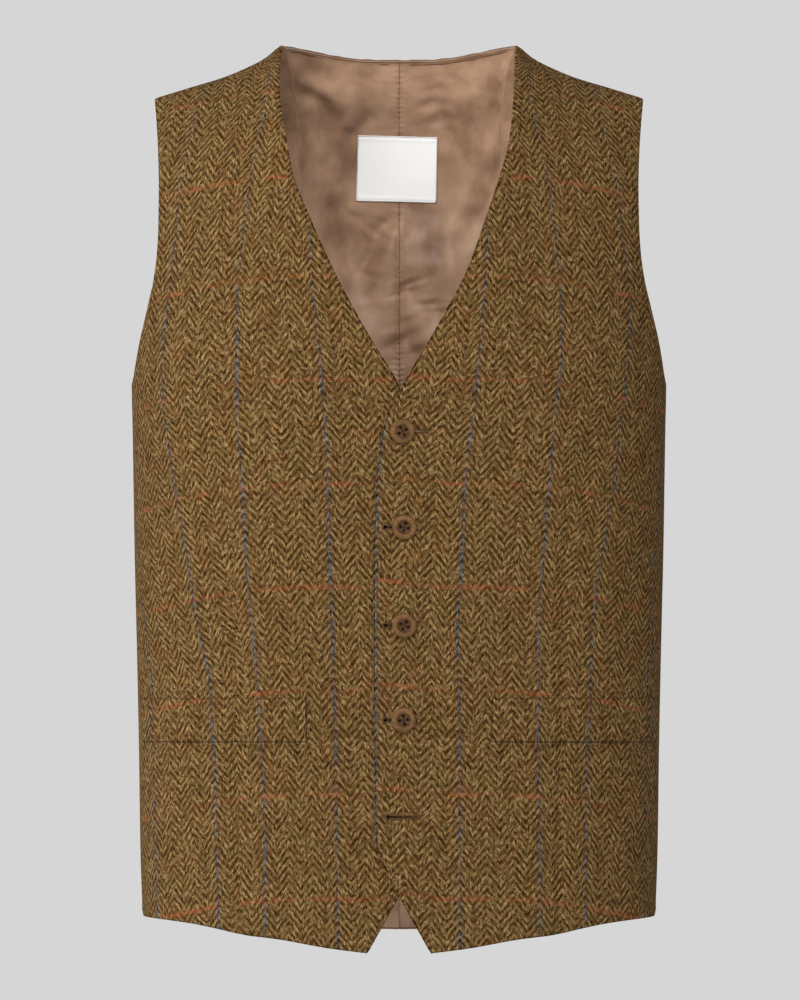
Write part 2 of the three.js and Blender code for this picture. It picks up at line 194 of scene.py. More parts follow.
@dataclass
class Figure:
    """The general figure that the garment is filled out to.

    A place on it is an angle round the section, 0 at the centre front, and a reach: the length of
    cloth below the ridge of the shoulder. Each section is a rounded box, with x over the half width
    equal to the sine raised to 2 over the roundness, and y over the depth to the cosine likewise.
    Down from the ridge the cloth follows a quarter of an ellipse, and then hangs straight.
    """

    roundness: float = 2.3
    widest_half: float = 187.2
    shoulder_drop: float = 190.0
    side_seam: float = 92.0
    underarm: float = -214.0
    neck_point: float = 82.6
    # z, half width, depth ahead of the side seams, depth behind them
    sections: tuple = (
        (-640, 178.2, 110, 108), (-584, 179.5, 109, 106), (-539, 181, 107.5, 102),
        (-469, 182, 106, 96.5), (-400, 183.4, 106.5, 95), (-328, 185.1, 110.5, 99),
        (-253, 186.3, 116, 106), (-200, 187.2, 118.5, 109.5), (-120, 187.2, 117, 110),
        (70, 187.2, 114, 108),
    )
    # x, z of the top line of the shoulders
    shoulder_line: tuple = (
        (0, 62), (45, 47), (70, 33.2), (82.6, 24.2), (95, 14.5), (110, 7), (124, 1.4),
        (146, -5.2), (170, -12.6), (200, -22),
    )

    def __post_init__(self) -> None:
        """Makes the smooth lines through the tables."""
        self.half = Curve(self.sections, 0, 1)
        self.front = Curve(self.sections, 0, 2)
        self.back = Curve(self.sections, 0, 3)
        self.ridge = Curve(self.shoulder_line)
        self.shoulder_arc = self.shoulder_drop * np.pi / 2

    def share(self, value: Array) -> Array:
        """Share of the half width or depth for a sine or cosine."""
        return np.sign(value) * np.abs(value) ** (2 / self.roundness)

    def point(self, angle: Array, reach: Array) -> Array:
        """Points of the figure at angles round it and reaches down it, in millimetres."""
        across = self.share(np.sin(angle))
        lean = np.minimum(reach / self.shoulder_arc, 1) * 90 * DEGREE
        ridge = self.ridge(np.abs(across) * self.widest_half)
        straight = np.maximum(reach - self.shoulder_arc, 0)
        z = ridge - self.shoulder_drop * (1 - np.cos(lean)) - straight
        depth = np.where(np.cos(angle) > 0, self.front(z), self.back(z))
        y = -depth * np.sin(lean) * self.share(np.cos(angle))
        return np.stack([self.half(z) * across, y, z], axis=-1)

    def outward(self, angle: Array, reach: Array) -> Array:
        """Directions square to the figure: the cross product of the ways down and round."""
        around = self.point(angle + DEGREE, reach) - self.point(angle - DEGREE, reach)
        down = self.point(angle, reach + 1) - self.point(angle, reach - 1)
        return unit(np.cross(down, around))

    def angle_at(self, x: Array, z: Array, behind: bool = False) -> Array:
        """Angle of the place that is x across at height z, on the front or behind."""
        turn = np.arcsin(np.minimum(np.abs(x) / self.half(z), 1) ** (self.roundness / 2))
        turn = np.pi - turn if behind else turn
        return np.where(np.asarray(x) < 0, -1, 1) * turn

    def reach_at(self, angle: Array, z: Array) -> Array:
        """Length of cloth from the ridge down to height z at an angle."""
        across = np.abs(self.share(np.sin(angle)))
        drop = np.maximum(self.ridge(across * self.widest_half) - z, 0)
        bent = np.minimum(drop, self.shoulder_drop) / self.shoulder_drop
        return np.where(
            drop > self.shoulder_drop,
            self.shoulder_arc + drop - self.shoulder_drop,
            self.shoulder_arc * np.arccos(1 - bent) / (90 * DEGREE),
        )

    def angle_on_line(self, line: Callable[[Array], Array], reach: Array) -> Array:
        """Angle at which a line, known by its angle at each height, crosses each reach."""
        angle = np.broadcast_to(line(np.array(self.underarm)), np.shape(reach))
        for _ in range(24):
            angle = line(self.point(angle, reach)[..., 2])
        return angle

    def lifted(self, x: Array, z: Array, lift: Array, behind: bool = False) -> Array:
        """Points above the place that is x across at height z, moved out by a lift."""
        angle = self.angle_at(x, z, behind)
        reach = self.reach_at(angle, z)
        return self.point(angle, reach) + self.outward(angle, reach) * np.asarray(lift)[..., None]


FIGURE = Figure()


@dataclass(frozen=True)
class Crease:
    """A soft trough or ridge of cloth along a straight line, uneven along its length.

    Its height at a distance d from the line is height times e to the power of minus (d over width)
    squared, less towards the ends, and it swells and thins a little on its way.
    """

    x0: float
    z0: float
    x1: float
    z1: float
    width: float
    height: float

    def relief(self, x: Array, z: Array) -> Array:
        """Height of the crease at each place."""
        run = np.array([self.x1 - self.x0, self.z1 - self.z0])
        length = np.hypot(*run)
        along = np.clip(((x - self.x0) * run[0] + (z - self.z0) * run[1]) / length**2, 0, 1)
        wander = 0.22 * self.width * np.sin(2.7 * np.pi * along + 0.05 * self.x0)
        off_x = x - self.x0 - along * run[0] + wander * run[1] / length
        off_z = z - self.z0 - along * run[1] - wander * run[0] / length
        swell = 1 + 0.12 * np.sin(5.3 * np.pi * along + 0.11 * self.z0)
        ends = np.sin(np.pi * (0.1 + 0.8 * along)) ** 0.8
        near = (off_x**2 + off_z**2) / (self.width * swell) ** 2
        return self.height * swell * ends * np.exp(-near)


def creases(*rows: tuple[float, ...]) -> tuple[Crease, ...]:
    """Makes creases from rows of x and z of both ends, width and height."""
    return tuple(Crease(*row) for row in rows)


def relief_of(folds: Sequence[Crease], x: Array, z: Array) -> Array:
    """Adds up the creases at each place."""
    return sum((fold.relief(x, z) for fold in folds), np.zeros_like(x))


def swell(x: Array, z: Array) -> Array:
    """Slow unevenness of cloth on a form, a sum of long crossed waves between about -1 and 1."""
    return (
        np.sin(x / 31 + z / 57 + 0.6) * np.cos(z / 83 - 0.4)
        + 0.6 * np.sin(x / 19 - z / 71 + 2.1)
        + 0.5 * np.cos(x / 43 + z / 37 + 1.3)
    ) / 2.1


def boundary(rows: int, columns: int) -> tuple[Array, Array]:
    """Row and column numbers round the outside of a grid, each place once."""
    top = [(0, j) for j in range(columns)]
    last = [(i, columns - 1) for i in range(1, rows)]
    bottom = [(rows - 1, j) for j in range(columns - 2, -1, -1)]
    first = [(i, 0) for i in range(rows - 2, 0, -1)]
    loop = np.array(top + last + bottom + first)
    return loop[:, 0], loop[:, 1]


def quads_of(rows: int, columns: int) -> Array:
    """Four corners of each cell of a grid whose points are numbered row by row."""
    i, j = np.meshgrid(np.arange(rows - 1), np.arange(columns - 1), indexing="ij")
    at = i * columns + j
    return np.stack([at, at + columns, at + columns + 1, at + 1], axis=-1).reshape(-1, 4)


def mesh_piece(
    name: str,
    points: Array,
    faces: Sequence[Sequence[int]],
    grain: Array | None = None,
    finishes: Sequence["bpy.types.Material"] = (),
    finish_of: Array | None = None,
) -> bpy.types.Object:
    """Makes a piece from points in millimetres, its faces turned outwards.

    Args:
        name: Name of the piece.
        points: Three coordinates a point.
        faces: Point numbers of each face.
        grain: Place in the cloth of each face's corners, in millimetres across and up the weave.
        finishes: Materials, the first being the usual one.
        finish_of: Number of each face's material.

    Returns:
        The new object, at the origin.
    """
    faces = np.asarray(faces)
    a, b, c, d = (points[faces[:, k]] for k in range(4))
    volume = (a * np.cross(b, c)).sum() + (a * np.cross(c, d)).sum()
    if volume < 0:
        faces = faces[:, ::-1]
        grain = None if grain is None else grain[:, ::-1]
    mesh = bpy.data.meshes.new(name)
    mesh.from_pydata((points * MM).tolist(), [], faces.tolist())
    if grain is not None:
        mesh.uv_layers.new(name="grain").uv.foreach_set("vector", grain.astype(np.float32).ravel())
    for finish in finishes:
        mesh.materials.append(finish)
    if finish_of is not None:
        mesh.polygons.foreach_set("material_index", finish_of.astype(np.int32))
    smoothed(mesh)
    mesh.update()
    piece = bpy.data.objects.new(name, mesh)
    bpy.context.scene.collection.objects.link(piece)
    return piece


@dataclass
class Wall:
    """A thin wall of cloth between two grids of points, closed by a rounded rim.

    Attributes:
        outer: Grid of points on the outside.
        inner: Grid of points on the inside.
        grain: Place in the cloth of each grid point, across and up the weave.
        beyond: The same for the cells past a sewn-in dart, where the weave jumps.
        dart_column: Number of the column that the dart runs along.
        rim: How far the rim stands out at each place of the boundary.
        facing: Number of columns from the front edge that have the face cloth inside too.
    """

    outer: Array
    inner: Array
    grain: Array
    rim: Array
    beyond: Array | None = None
    dart_column: int | None = None
    facing: int = 0

    def build(self, name: str, finishes: Sequence["bpy.types.Material"]) -> bpy.types.Object:
        """Makes the wall: the rim is half an ellipse from the outer edge round to the inner one.

        Args:
            name: Name of the piece.
            finishes: Material of the outside, and of the inside past the facing.

        Returns:
            The closed piece.
        """
        rows, columns = self.outer.shape[:2]
        count = rows * columns
        row, column = boundary(rows, columns)
        size = len(row)
        outer, inner = self.outer[row, column], self.inner[row, column]
        within = self.outer[np.clip(row, 1, rows - 2), np.clip(column, 1, columns - 2)]
        half = (outer - inner) / 2
        through = unit(half)
        away = outer - within
        away = unit(away - (away * through).sum(-1, keepdims=True) * through)
        turns = np.linspace(0, np.pi, RIM_RINGS + 2)[1:-1, None, None]
        rings = (outer + inner) / 2 + half * np.cos(turns) + away * self.rim[:, None] * np.sin(turns)
        points = np.concatenate([grid.reshape(-1, 3) for grid in (self.outer, self.inner, rings)])
        edge = row * columns + column
        loops = [edge, *(2 * count + k * size + np.arange(size) for k in range(RIM_RINGS)), edge + count]
        ends = np.roll(np.arange(size), -1)
        cells = quads_of(rows, columns)
        sides = [np.stack([a, a[ends], b[ends], b], axis=-1) for a, b in zip(loops, loops[1:])]
        faces = np.concatenate([cells[:, ::-1], cells + count, *sides])
        places = np.concatenate([np.arange(count), np.arange(count), np.tile(edge, RIM_RINGS)])
        corner = places[faces]
        grain = self.grain.reshape(-1, 2)[corner]
        if self.beyond is not None:
            past = (corner % columns).max(axis=1) > self.dart_column
            grain[past] = self.beyond.reshape(-1, 2)[corner[past]]
        inside = np.zeros(len(faces), int)
        if len(finishes) > 1:
            cell = np.arange(len(cells)) % (columns - 1)
            inside[len(cells) : 2 * len(cells)] = cell >= self.facing
        return mesh_piece(name, points, faces, grain, finishes, inside)


def tube(
    path: Array, outward: Array, wide: Array, high: Array, sides: int = 12, closed: bool = False
) -> tuple[Array, Array]:
    """Carries an ellipse along a path, its high axis along outward.

    A point is the path's, plus wide times the cosine across it, plus high times the sine outward.

    Args:
        path: Points of the middle line.
        outward: Direction at each point that the high axis leans to.
        wide: Half width of the ellipse at each point.
        high: Half height of the ellipse at each point.
        sides: Points round the ellipse.
        closed: Whether the path runs back into its own start.

    Returns:
        The points, and the faces as four corners each, without caps.
    """
    if closed:
        along = unit(np.roll(path, -1, axis=0) - np.roll(path, 1, axis=0))
    else:
        along = unit(np.gradient(path, axis=0))
    across = unit(np.cross(along, outward))
    upward = unit(np.cross(across, along))
    turn = np.linspace(0, 2 * np.pi, sides, endpoint=False)
    ring = (
        path[:, None]
        + (np.asarray(wide)[:, None] * np.cos(turn))[..., None] * across[:, None]
        + (np.asarray(high)[:, None] * np.sin(turn))[..., None] * upward[:, None]
    )
    count = len(path)
    i, j = np.meshgrid(np.arange(count if closed else count - 1), np.arange(sides), indexing="ij")
    k, m = (i + 1) % count, (j + 1) % sides
    faces = np.stack([i * sides + j, k * sides + j, k * sides + m, i * sides + m], axis=-1).reshape(-1, 4)
    return ring.reshape(-1, 3), faces


def joined(parts: Sequence[tuple[Array, Array]]) -> tuple[Array, Array]:
    """Puts several sets of points and faces into one."""
    starts = np.cumsum([0, *(len(points) for points, _ in parts)])
    return (
        np.concatenate([points for points, _ in parts]),
        np.concatenate([faces + start for (_, faces), start in zip(parts, starts)]),
    )


def cut_from(piece: bpy.types.Object, tool: bpy.types.Object) -> None:
    """Cuts a tool out of a piece for good, and removes the tool."""
    cut = piece.modifiers.new("cut", "BOOLEAN")
    cut.operation = "DIFFERENCE"
    cut.solver = "EXACT"
    cut.object = tool
    bpy.context.view_layer.update()
    whole = piece.evaluated_get(bpy.context.evaluated_depsgraph_get())
    mesh = bpy.data.meshes.new_from_object(whole)
    piece.modifiers.clear()
    old = piece.data
    piece.data = mesh
    bpy.data.meshes.remove(old)
    bpy.data.objects.remove(tool)


def turned_out(mesh: bpy.types.Mesh, merge: bool = False) -> None:
    """Turns every face of a closed mesh outwards.

    Args:
        mesh: The mesh.
        merge: Whether points that lie on each other are made one first.
    """
    shell = bmesh.new()
    shell.from_mesh(mesh)
    if merge:
        bmesh.ops.remove_doubles(shell, verts=shell.verts, dist=1e-6)
    bmesh.ops.recalc_face_normals(shell, faces=shell.faces)
    shell.to_mesh(mesh)
    shell.free()


def smoothed(mesh: bpy.types.Mesh) -> None:
    """Shades every face of a mesh smoothly."""
    mesh.polygons.foreach_set("use_smooth", np.ones(len(mesh.polygons), bool))


def welded(piece: bpy.types.Object) -> bpy.types.Object:
    """Merges the points of a piece that lie on each other, and turns its faces outwards."""
    turned_out(piece.data, merge=True)
    smoothed(piece.data)
    return piece


def cutter(points: Array, faces: Sequence[Sequence[int]]) -> bpy.types.Object:
    """Makes a tool to cut with from points in millimetres and its faces."""
    tool = bpy.data.objects.new("cutter", bpy.data.meshes.new("cutter"))
    tool.data.from_pydata((points * MM).tolist(), [], faces)
    bpy.context.scene.collection.objects.link(tool)
    return tool


def dressed(piece: bpy.types.Object, solid: str = "") -> bpy.types.Object:
    """Puts a piece on the garment's body.

    Args:
        piece: The finished piece.
        solid: The solid that it stands in for, if any.

    Returns:
        The piece.
    """
    if solid:
        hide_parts(solid)
    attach(piece, "root")
    return piece


def threads(
    name: str,
    tubes: Sequence[tuple[Array, Array]],
    finish: bpy.types.Material,
    grain: Array | None = None,
) -> bpy.types.Object:
    """Makes one piece of the garment out of tubes.

    Args:
        name: Name of the piece.
        tubes: Points and faces of each tube.
        finish: Its material.
        grain: Place in the cloth of each point, where it is cloth.

    Returns:
        The piece.
    """
    points, faces = joined(tubes)
    piece = mesh_piece(name, points, faces, None if grain is None else grain[faces], (finish,))
    return dressed(welded(piece))


def put(
    tree: bpy.types.NodeTree, kind: str, settings: dict | None = None, inputs: dict | None = None
) -> bpy.types.Node:
    """Adds a node with its settings and links.

    Args:
        tree: The material's tree.
        kind: Node type.
        settings: Attributes of the node.
        inputs: Sockets to link, or values to set, by the number or name of the input.

    Returns:
        The new node.
    """
    node = tree.nodes.new(kind)
    for key, value in (settings or {}).items():
        setattr(node, key, value)
    for key, value in (inputs or {}).items():
        if isinstance(value, bpy.types.NodeSocket):
            tree.links.new(value, node.inputs[key])
        else:
            node.inputs[key].default_value = value
    return node


Socket = bpy.types.NodeSocket


class Nodes:
    """A material's tree, with the few kinds of node that the finishes are made of.

    What its methods take are sockets to link or plain values to set, and they give a socket back.
    """

    def __init__(self, name: str) -> None:
        """Makes an empty node material of a name."""
        self.material = bpy.data.materials.new(name)
        self.material.use_nodes = True
        self.tree = self.material.node_tree
        self.tree.nodes.clear()

    def cloth(self) -> Socket:
        """Gives the place in the cloth, in millimetres across and up the weave."""
        return put(self.tree, "ShaderNodeUVMap", {"uv_map": "grain"}).outputs[0]

    def local(self) -> Socket:
        """Gives the place in the piece, in metres."""
        return put(self.tree, "ShaderNodeTexCoord").outputs["Object"]

    def split(self, place: Socket) -> tuple[Socket, Socket]:
        """Gives the first two parts of a place."""
        parts = put(self.tree, "ShaderNodeSeparateXYZ", None, {0: place}).outputs
        return parts[0], parts[1]

    def stretched(self, place: Socket, scale: tuple, turn: tuple = (0.0, 0.0, 0.0)) -> Socket:
        """Turns a place and multiplies its three parts."""
        inputs = {"Vector": place, "Rotation": turn, "Scale": scale}
        return put(self.tree, "ShaderNodeMapping", None, inputs).outputs[0]

    def maths(self, operation: str, *values: Socket | float) -> Socket:
        """Works out one operation on one to three values."""
        return put(self.tree, "ShaderNodeMath", {"operation": operation}, dict(enumerate(values))).outputs[0]

    def noise(
        self, place: Socket, scale: float, detail: float = 2.0, flat: bool = True, **more: float
    ) -> Socket:
        """Makes noise in the cloth, or in space where it isn't flat."""
        settings = {"noise_dimensions": "2D" if flat else "3D"}
        inputs = {"Vector": place, "Scale": scale, "Detail": detail, **more}
        return put(self.tree, "ShaderNodeTexNoise", settings, inputs).outputs[0]

    def ramp(
        self, value: Socket, low: float, high: float,
        start: float = 0.0, end: float = 1.0, kind: str = "LINEAR",
    ) -> Socket:
        """Leads a value that goes from low to high over from start to end, held there."""
        inputs = {"Value": value, "From Min": low, "From Max": high, "To Min": start, "To Max": end}
        return put(self.tree, "ShaderNodeMapRange", {"interpolation_type": kind}, inputs).outputs[0]

    def blend(self, share: Socket, first: Socket | str, second: Socket | str) -> Socket:
        """Mixes two colours, each a socket or a hex code, by the share of the second."""
        ends = [linear(end) if isinstance(end, str) else end for end in (first, second)]
        inputs = {0: share, 6: ends[0], 7: ends[1]}
        return put(self.tree, "ShaderNodeMix", {"data_type": "RGBA"}, inputs).outputs[2]

    def finished(
        self, colour: Socket, gloss: dict,
        relief: Socket | None = None, strength: float = 0.0, depth: float = 0.0,
    ) -> bpy.types.Material:
        """Ends the tree in its shader.

        Args:
            colour: Base colour.
            gloss: The shader's plain values by name.
            relief: Height for the bump, if it has one.
            strength: Strength of the bump.
            depth: Height of the bump in metres.

        Returns:
            The material.
        """
        inputs = {"Base Color": colour, **gloss}
        if relief is not None:
            bump = {"Strength": strength, "Distance": depth, "Height": relief}
            inputs["Normal"] = put(self.tree, "ShaderNodeBump", None, bump).outputs[0]
        shader = put(self.tree, "ShaderNodeBsdfPrincipled", None, inputs)
        put(self.tree, "ShaderNodeOutputMaterial", None, {0: shader.outputs[0]})
        return self.material


@dataclass(frozen=True)
class HerringboneTweed:
    """Heavy woollen tweed, woven in a two and two herringbone with a windowpane check over it.

    Woolly yarns give a dry cloth with no gloss. Eight ends make a column, and a pick more than the
    end before lies under each, so the light floats climb one way and then the other and meet in a
    peak on every blue stripe. Every crossing differs in tone, and a few are rust, green or bright.
    The weave reads the cloth's own millimetres.
    """

    light: str = "745b38"
    dark: str = "1c0e00"
    olive: str = "4c421a"
    pale_speck: str = "b09a6c"
    russet: str = "5b3115"
    blue_light: str = "52595d"
    purple_light: str = "54494f"
    blue_dark: str = "1b1512"
    red_light: str = "824a30"
    red_dark: str = "4d2815"
    ends: int = 8
    column: float = PANE_WIDTH / 6
    pick: float = 1.46
    red_height: float = 0.0
    stripes_fade: tuple = (0.0, 0.0)

    def make(self) -> bpy.types.Material:
        """Builds the material: tone by float, then flecks, then the check's blue and red."""
        nodes = Nodes("herringbone tweed")
        cloth = nodes.cloth()
        across, up = nodes.split(cloth)

        # Hand of the cloth: the rows waver by about a millimetre
        height = nodes.maths("MULTIPLY_ADD", nodes.noise(cloth, 0.05), 2.2, up)
        zigzag = nodes.maths("PINGPONG", across, self.column)
        climb = nodes.maths("MULTIPLY_ADD", zigzag, self.ends * self.pick / self.column, height)
        picks = nodes.maths("DIVIDE", climb, self.pick)
        wave = nodes.maths("SINE", nodes.maths("MULTIPLY", picks, np.pi / 2))

        # Each crossing of an end and a pick has its own tone, under loose hairs; each end is also painted
        # lighter down its middle, a painted shade of its round yarn
        end = nodes.maths("DIVIDE", across, self.column / self.ends)
        numbers = {0: nodes.maths("FLOOR", end), 1: nodes.maths("FLOOR", picks)}
        crossing = {"Vector": put(nodes.tree, "ShaderNodeCombineXYZ", None, numbers).outputs[0]}
        tone = put(nodes.tree, "ShaderNodeTexWhiteNoise", {"noise_dimensions": "2D"}, crossing)
        hairs = nodes.noise(cloth, 1.4, Roughness=0.7)
        # painted shade: the rise across each end lightens its middle and darkens its sides, as light falls on
        # a round yarn
        twill_with_painted_strand_shade = nodes.maths("MULTIPLY_ADD", nodes.maths("PINGPONG", end, 0.5), 1.4, wave)
        uneven = nodes.maths("MULTIPLY_ADD", tone.outputs["Value"], 2.7, twill_with_painted_strand_shade)
        on_top = nodes.ramp(nodes.maths("MULTIPLY_ADD", hairs, 6.8, uneven), 3.05, 7.2)
        shade = nodes.maths("POWER", on_top, 1.5)
        woven = nodes.blend(shade, self.dark, self.light)

        # Slow changes of shade from one lot of yarn to the next
        lot = nodes.noise(cloth, 0.06, 3.0)
        olive = nodes.blend(nodes.ramp(lot, 0.5, 0.72, end=0.12), woven, self.olive)
        tinted = nodes.blend(nodes.ramp(lot, 0.5, 0.3, end=0.16), olive, self.russet)

        # Single coloured flecks of rust and green, and small pale specks scaled by the loose hairs
        chance = put(nodes.tree, "ShaderNodeSeparateColor", None, {0: tone.outputs["Color"]}).outputs
        rusty = nodes.blend(nodes.ramp(chance[1], 0.88, 0.93, end=0.25), tinted, self.russet)
        flecked = nodes.blend(nodes.ramp(chance[2], 0.88, 0.93, end=0.2), rusty, self.olive)
        bright = nodes.ramp(chance[0], 0.88, 0.94, end=0.3)
        specked = nodes.blend(nodes.maths("MULTIPLY", bright, hairs), flecked, self.pale_speck)

        # Blue stripe: two ends of slate yarn, seen where they lie over the picks, fainter up the chest
        blue_off = nodes.maths("PINGPONG", across, PANE_WIDTH / 2)
        blue_band = nodes.ramp(blue_off, 0.7, 2.2, 0.8, 0.0, "SMOOTHSTEP")
        worn = nodes.noise(cloth, 0.11)
        along = nodes.ramp(up, *self.stripes_fade, 0.9, 0.45)
        kept = nodes.maths("MULTIPLY", along, nodes.ramp(worn, 0.36, 0.62, 0.3))
        dyed = nodes.blend(nodes.ramp(worn, 0.42, 0.58), self.purple_light, self.blue_light)
        blue_yarn = nodes.blend(shade, self.blue_dark, dyed)
        striped = nodes.blend(nodes.maths("MULTIPLY", blue_band, kept), specked, blue_yarn)

        # Red line: two picks of rust yarn, which the ends cover in places
        red_place = nodes.maths("SUBTRACT", height, self.red_height + 1.1)
        red_off = nodes.maths("PINGPONG", red_place, PANE_HEIGHT / 2)
        red_band = nodes.ramp(red_off, 0.5, 2.3, 1.0, 0.0, "SMOOTHSTEP")
        red_shown = nodes.ramp(nodes.noise(cloth, 0.05, 3.0), 0.42, 0.66, 0.05, 0.66)
        red_yarn = nodes.blend(on_top, self.red_dark, self.red_light)
        checked = nodes.blend(nodes.maths("MULTIPLY", red_band, red_shown), striped, red_yarn)

        # The floats stand about a quarter of a millimetre over the ground
        return nodes.finished(checked, {"Roughness": 0.93, "Specular IOR Level": 0.03}, on_top, 0.5, 0.00025)


@dataclass(frozen=True)
class WovenSatin:
    """Viscose satin, woven with long floats: smooth, with a soft broad gloss along its folds.

    The floats are far too fine to show, so they are drawn as faint ribs 1.6 mm apart.
    """

    name: str
    colour: str
    painted_sheen_dark: str
    roughness: float = 0.46

    def make(self) -> bpy.types.Material:
        """Builds the material from slow cloudy blotches of painted sheen, darker and lighter, and faint ribs.
        """
        nodes = Nodes(self.name)
        cloth = nodes.cloth()
        # painted sheen: slow cloudy blotches mix the darker and the plain colour, standing in for the gloss
        # changing over the satin; the ribs add a little painted shade too
        cloud = nodes.noise(cloth, 0.03, 4.0)
        ribs = nodes.noise(nodes.stretched(cloth, (0.62, 0.07, 1.0)), 1.0, 3.0)
        share = nodes.ramp(nodes.maths("MULTIPLY_ADD", ribs, 0.06, cloud), 0.32, 0.72)
        relief = nodes.maths("MULTIPLY_ADD", cloud, 24.0, ribs)
        gloss = {"Roughness": self.roughness, "Specular IOR Level": 0.22}
        gloss |= {"Sheen Weight": 0.04, "Sheen Roughness": 0.35}
        return nodes.finished(nodes.blend(share, self.painted_sheen_dark, self.colour), gloss, relief, 0.25, 0.00008)


@dataclass(frozen=True)
class LabelTape:
    """Damask label tape in bleached polyester: close weave, dull white, with fine ribs across it."""

    colour: str = "ebebe9"
    shade: str = "e2e2df"
    rib: float = 0.8

    def make(self) -> bpy.types.Material:
        """Builds the material from fine ribs across the tape, each rib's hollow coloured darker as painted
        shade.
        """
        nodes = Nodes("label tape")
        cloth = nodes.cloth()
        _, up = nodes.split(cloth)
        rib = nodes.maths("SINE", nodes.maths("MULTIPLY", up, 2 * np.pi / self.rib))
        # painted shade: the rib's hollow takes the darker colour, as light falls on a ribbed white tape
        share = nodes.maths("MULTIPLY_ADD", rib, 0.2, nodes.noise(cloth, 1.2))
        gloss = {"Roughness": 0.9, "Specular IOR Level": 0.0}
        return nodes.finished(nodes.blend(share, self.shade, self.colour), gloss, share, 0.4, 0.0001)


@dataclass(frozen=True)
class HornButton:
    """Brown horn effect resin, turned and rubbed dull: streaked like horn, with a low gloss."""

    name: str = "horn resin"
    colour: str = "4f371f"
    streak: str = "2d1c0e"

    def make(self) -> bpy.types.Material:
        """Builds the material from stretched streaks and fine turning marks."""
        nodes = Nodes(self.name)
        place = nodes.local()
        long = nodes.stretched(place, (160.0, 420.0, 260.0), (0.0, 0.5, 0.3))
        share = nodes.ramp(nodes.noise(long, 1.0, 5.0, False, Distortion=0.8), 0.3, 0.7)
        marks = nodes.noise(place, 1500.0, flat=False)
        gloss = {"Roughness": 0.5, "IOR": 1.54, "Specular IOR Level": 0.06}
        return nodes.finished(nodes.blend(share, self.streak, self.colour), gloss, marks, 0.25, 0.0001)


@dataclass(frozen=True)
class SewingThread:
    """Twisted polyester thread: dull, with its plies showing as slanted ridges."""

    name: str
    colour: str
    shade: str

    def make(self) -> bpy.types.Material:
        """Builds the material from ridges half a millimetre apart, the grooves between plies coloured darker
        as painted shade.
        """
        nodes = Nodes(self.name)
        inputs = {"Vector": nodes.local(), "Scale": 320.0, "Distortion": 1.5}
        plies = put(nodes.tree, "ShaderNodeTexWave", {"bands_direction": "DIAGONAL"}, inputs).outputs["Fac"]
        gloss = {"Roughness": 0.7, "Specular IOR Level": 0.3}
        # painted shade: the grooves between the plies take the darker colour
        return nodes.finished(nodes.blend(plies, self.shade, self.colour), gloss, plies, 0.5, 0.0001)


class Finishes:
    """All the materials, made once."""

    def __init__(self) -> None:
        """Makes each material, the check being set out by lengths of cloth up the front."""
        fades = tuple(float(PROFILE_LENGTH(z)) for z in STRIPES_FADE)
        self.tweed = HerringboneTweed(red_height=float(PROFILE_LENGTH(RED_LINE)), stripes_fade=fades).make()
        # Each satin's second colour is the dark side of its painted sheen
        self.lining = WovenSatin("lining satin", "a18168", "7a5c47").make()
        self.back = WovenSatin("back satin", "684b36", "5e4431", 0.42).make()
        self.tape = LabelTape().make()
        # painted highlight: a lighter horn for each button's raised rim, standing in for the light it catches
        self.painted_highlight_horn = HornButton("horn rim painted highlight", "64482c", "46301b").make()
        self.horn = HornButton().make()
        self.brown = SewingThread("brown thread", "2c1b0c", "160d05").make()
        self.twist = SewingThread("buttonhole twist", "503511", "231504").make()
        self.white = SewingThread("white thread", "e9e7e2", "c9c6bf").make()


def profile_length() -> Curve:
    """Length of cloth up the front at x of 100 mm, from the lowest height, as a line by height."""
    z = np.arange(-660.0, 12.0, 4.0)
    angle = FIGURE.angle_at(np.full_like(z, 100.0), z)
    y = FIGURE.point(angle, FIGURE.reach_at(angle, z))[:, 1]
    length = np.concatenate([[0], np.cumsum(np.hypot(np.diff(y), np.diff(z)))])
    return Curve(np.stack([z, length], axis=-1).tolist())


PROFILE_LENGTH = profile_length()


CHEST_STRIPES = (
    (14, -16, 42, 88.2, 133), (-6.3, -12.5, 45.5, 91.7, 137.2), (-43.4, -5.5, 52.5, 98.7, 147),
    (-75.6, 0.8, 58.8, 105, 153.3), (-111.3, 4.3, 62.3, 109.9, 156.8), (-154, 1.5, 59.5, 113.4, 161.7),
)


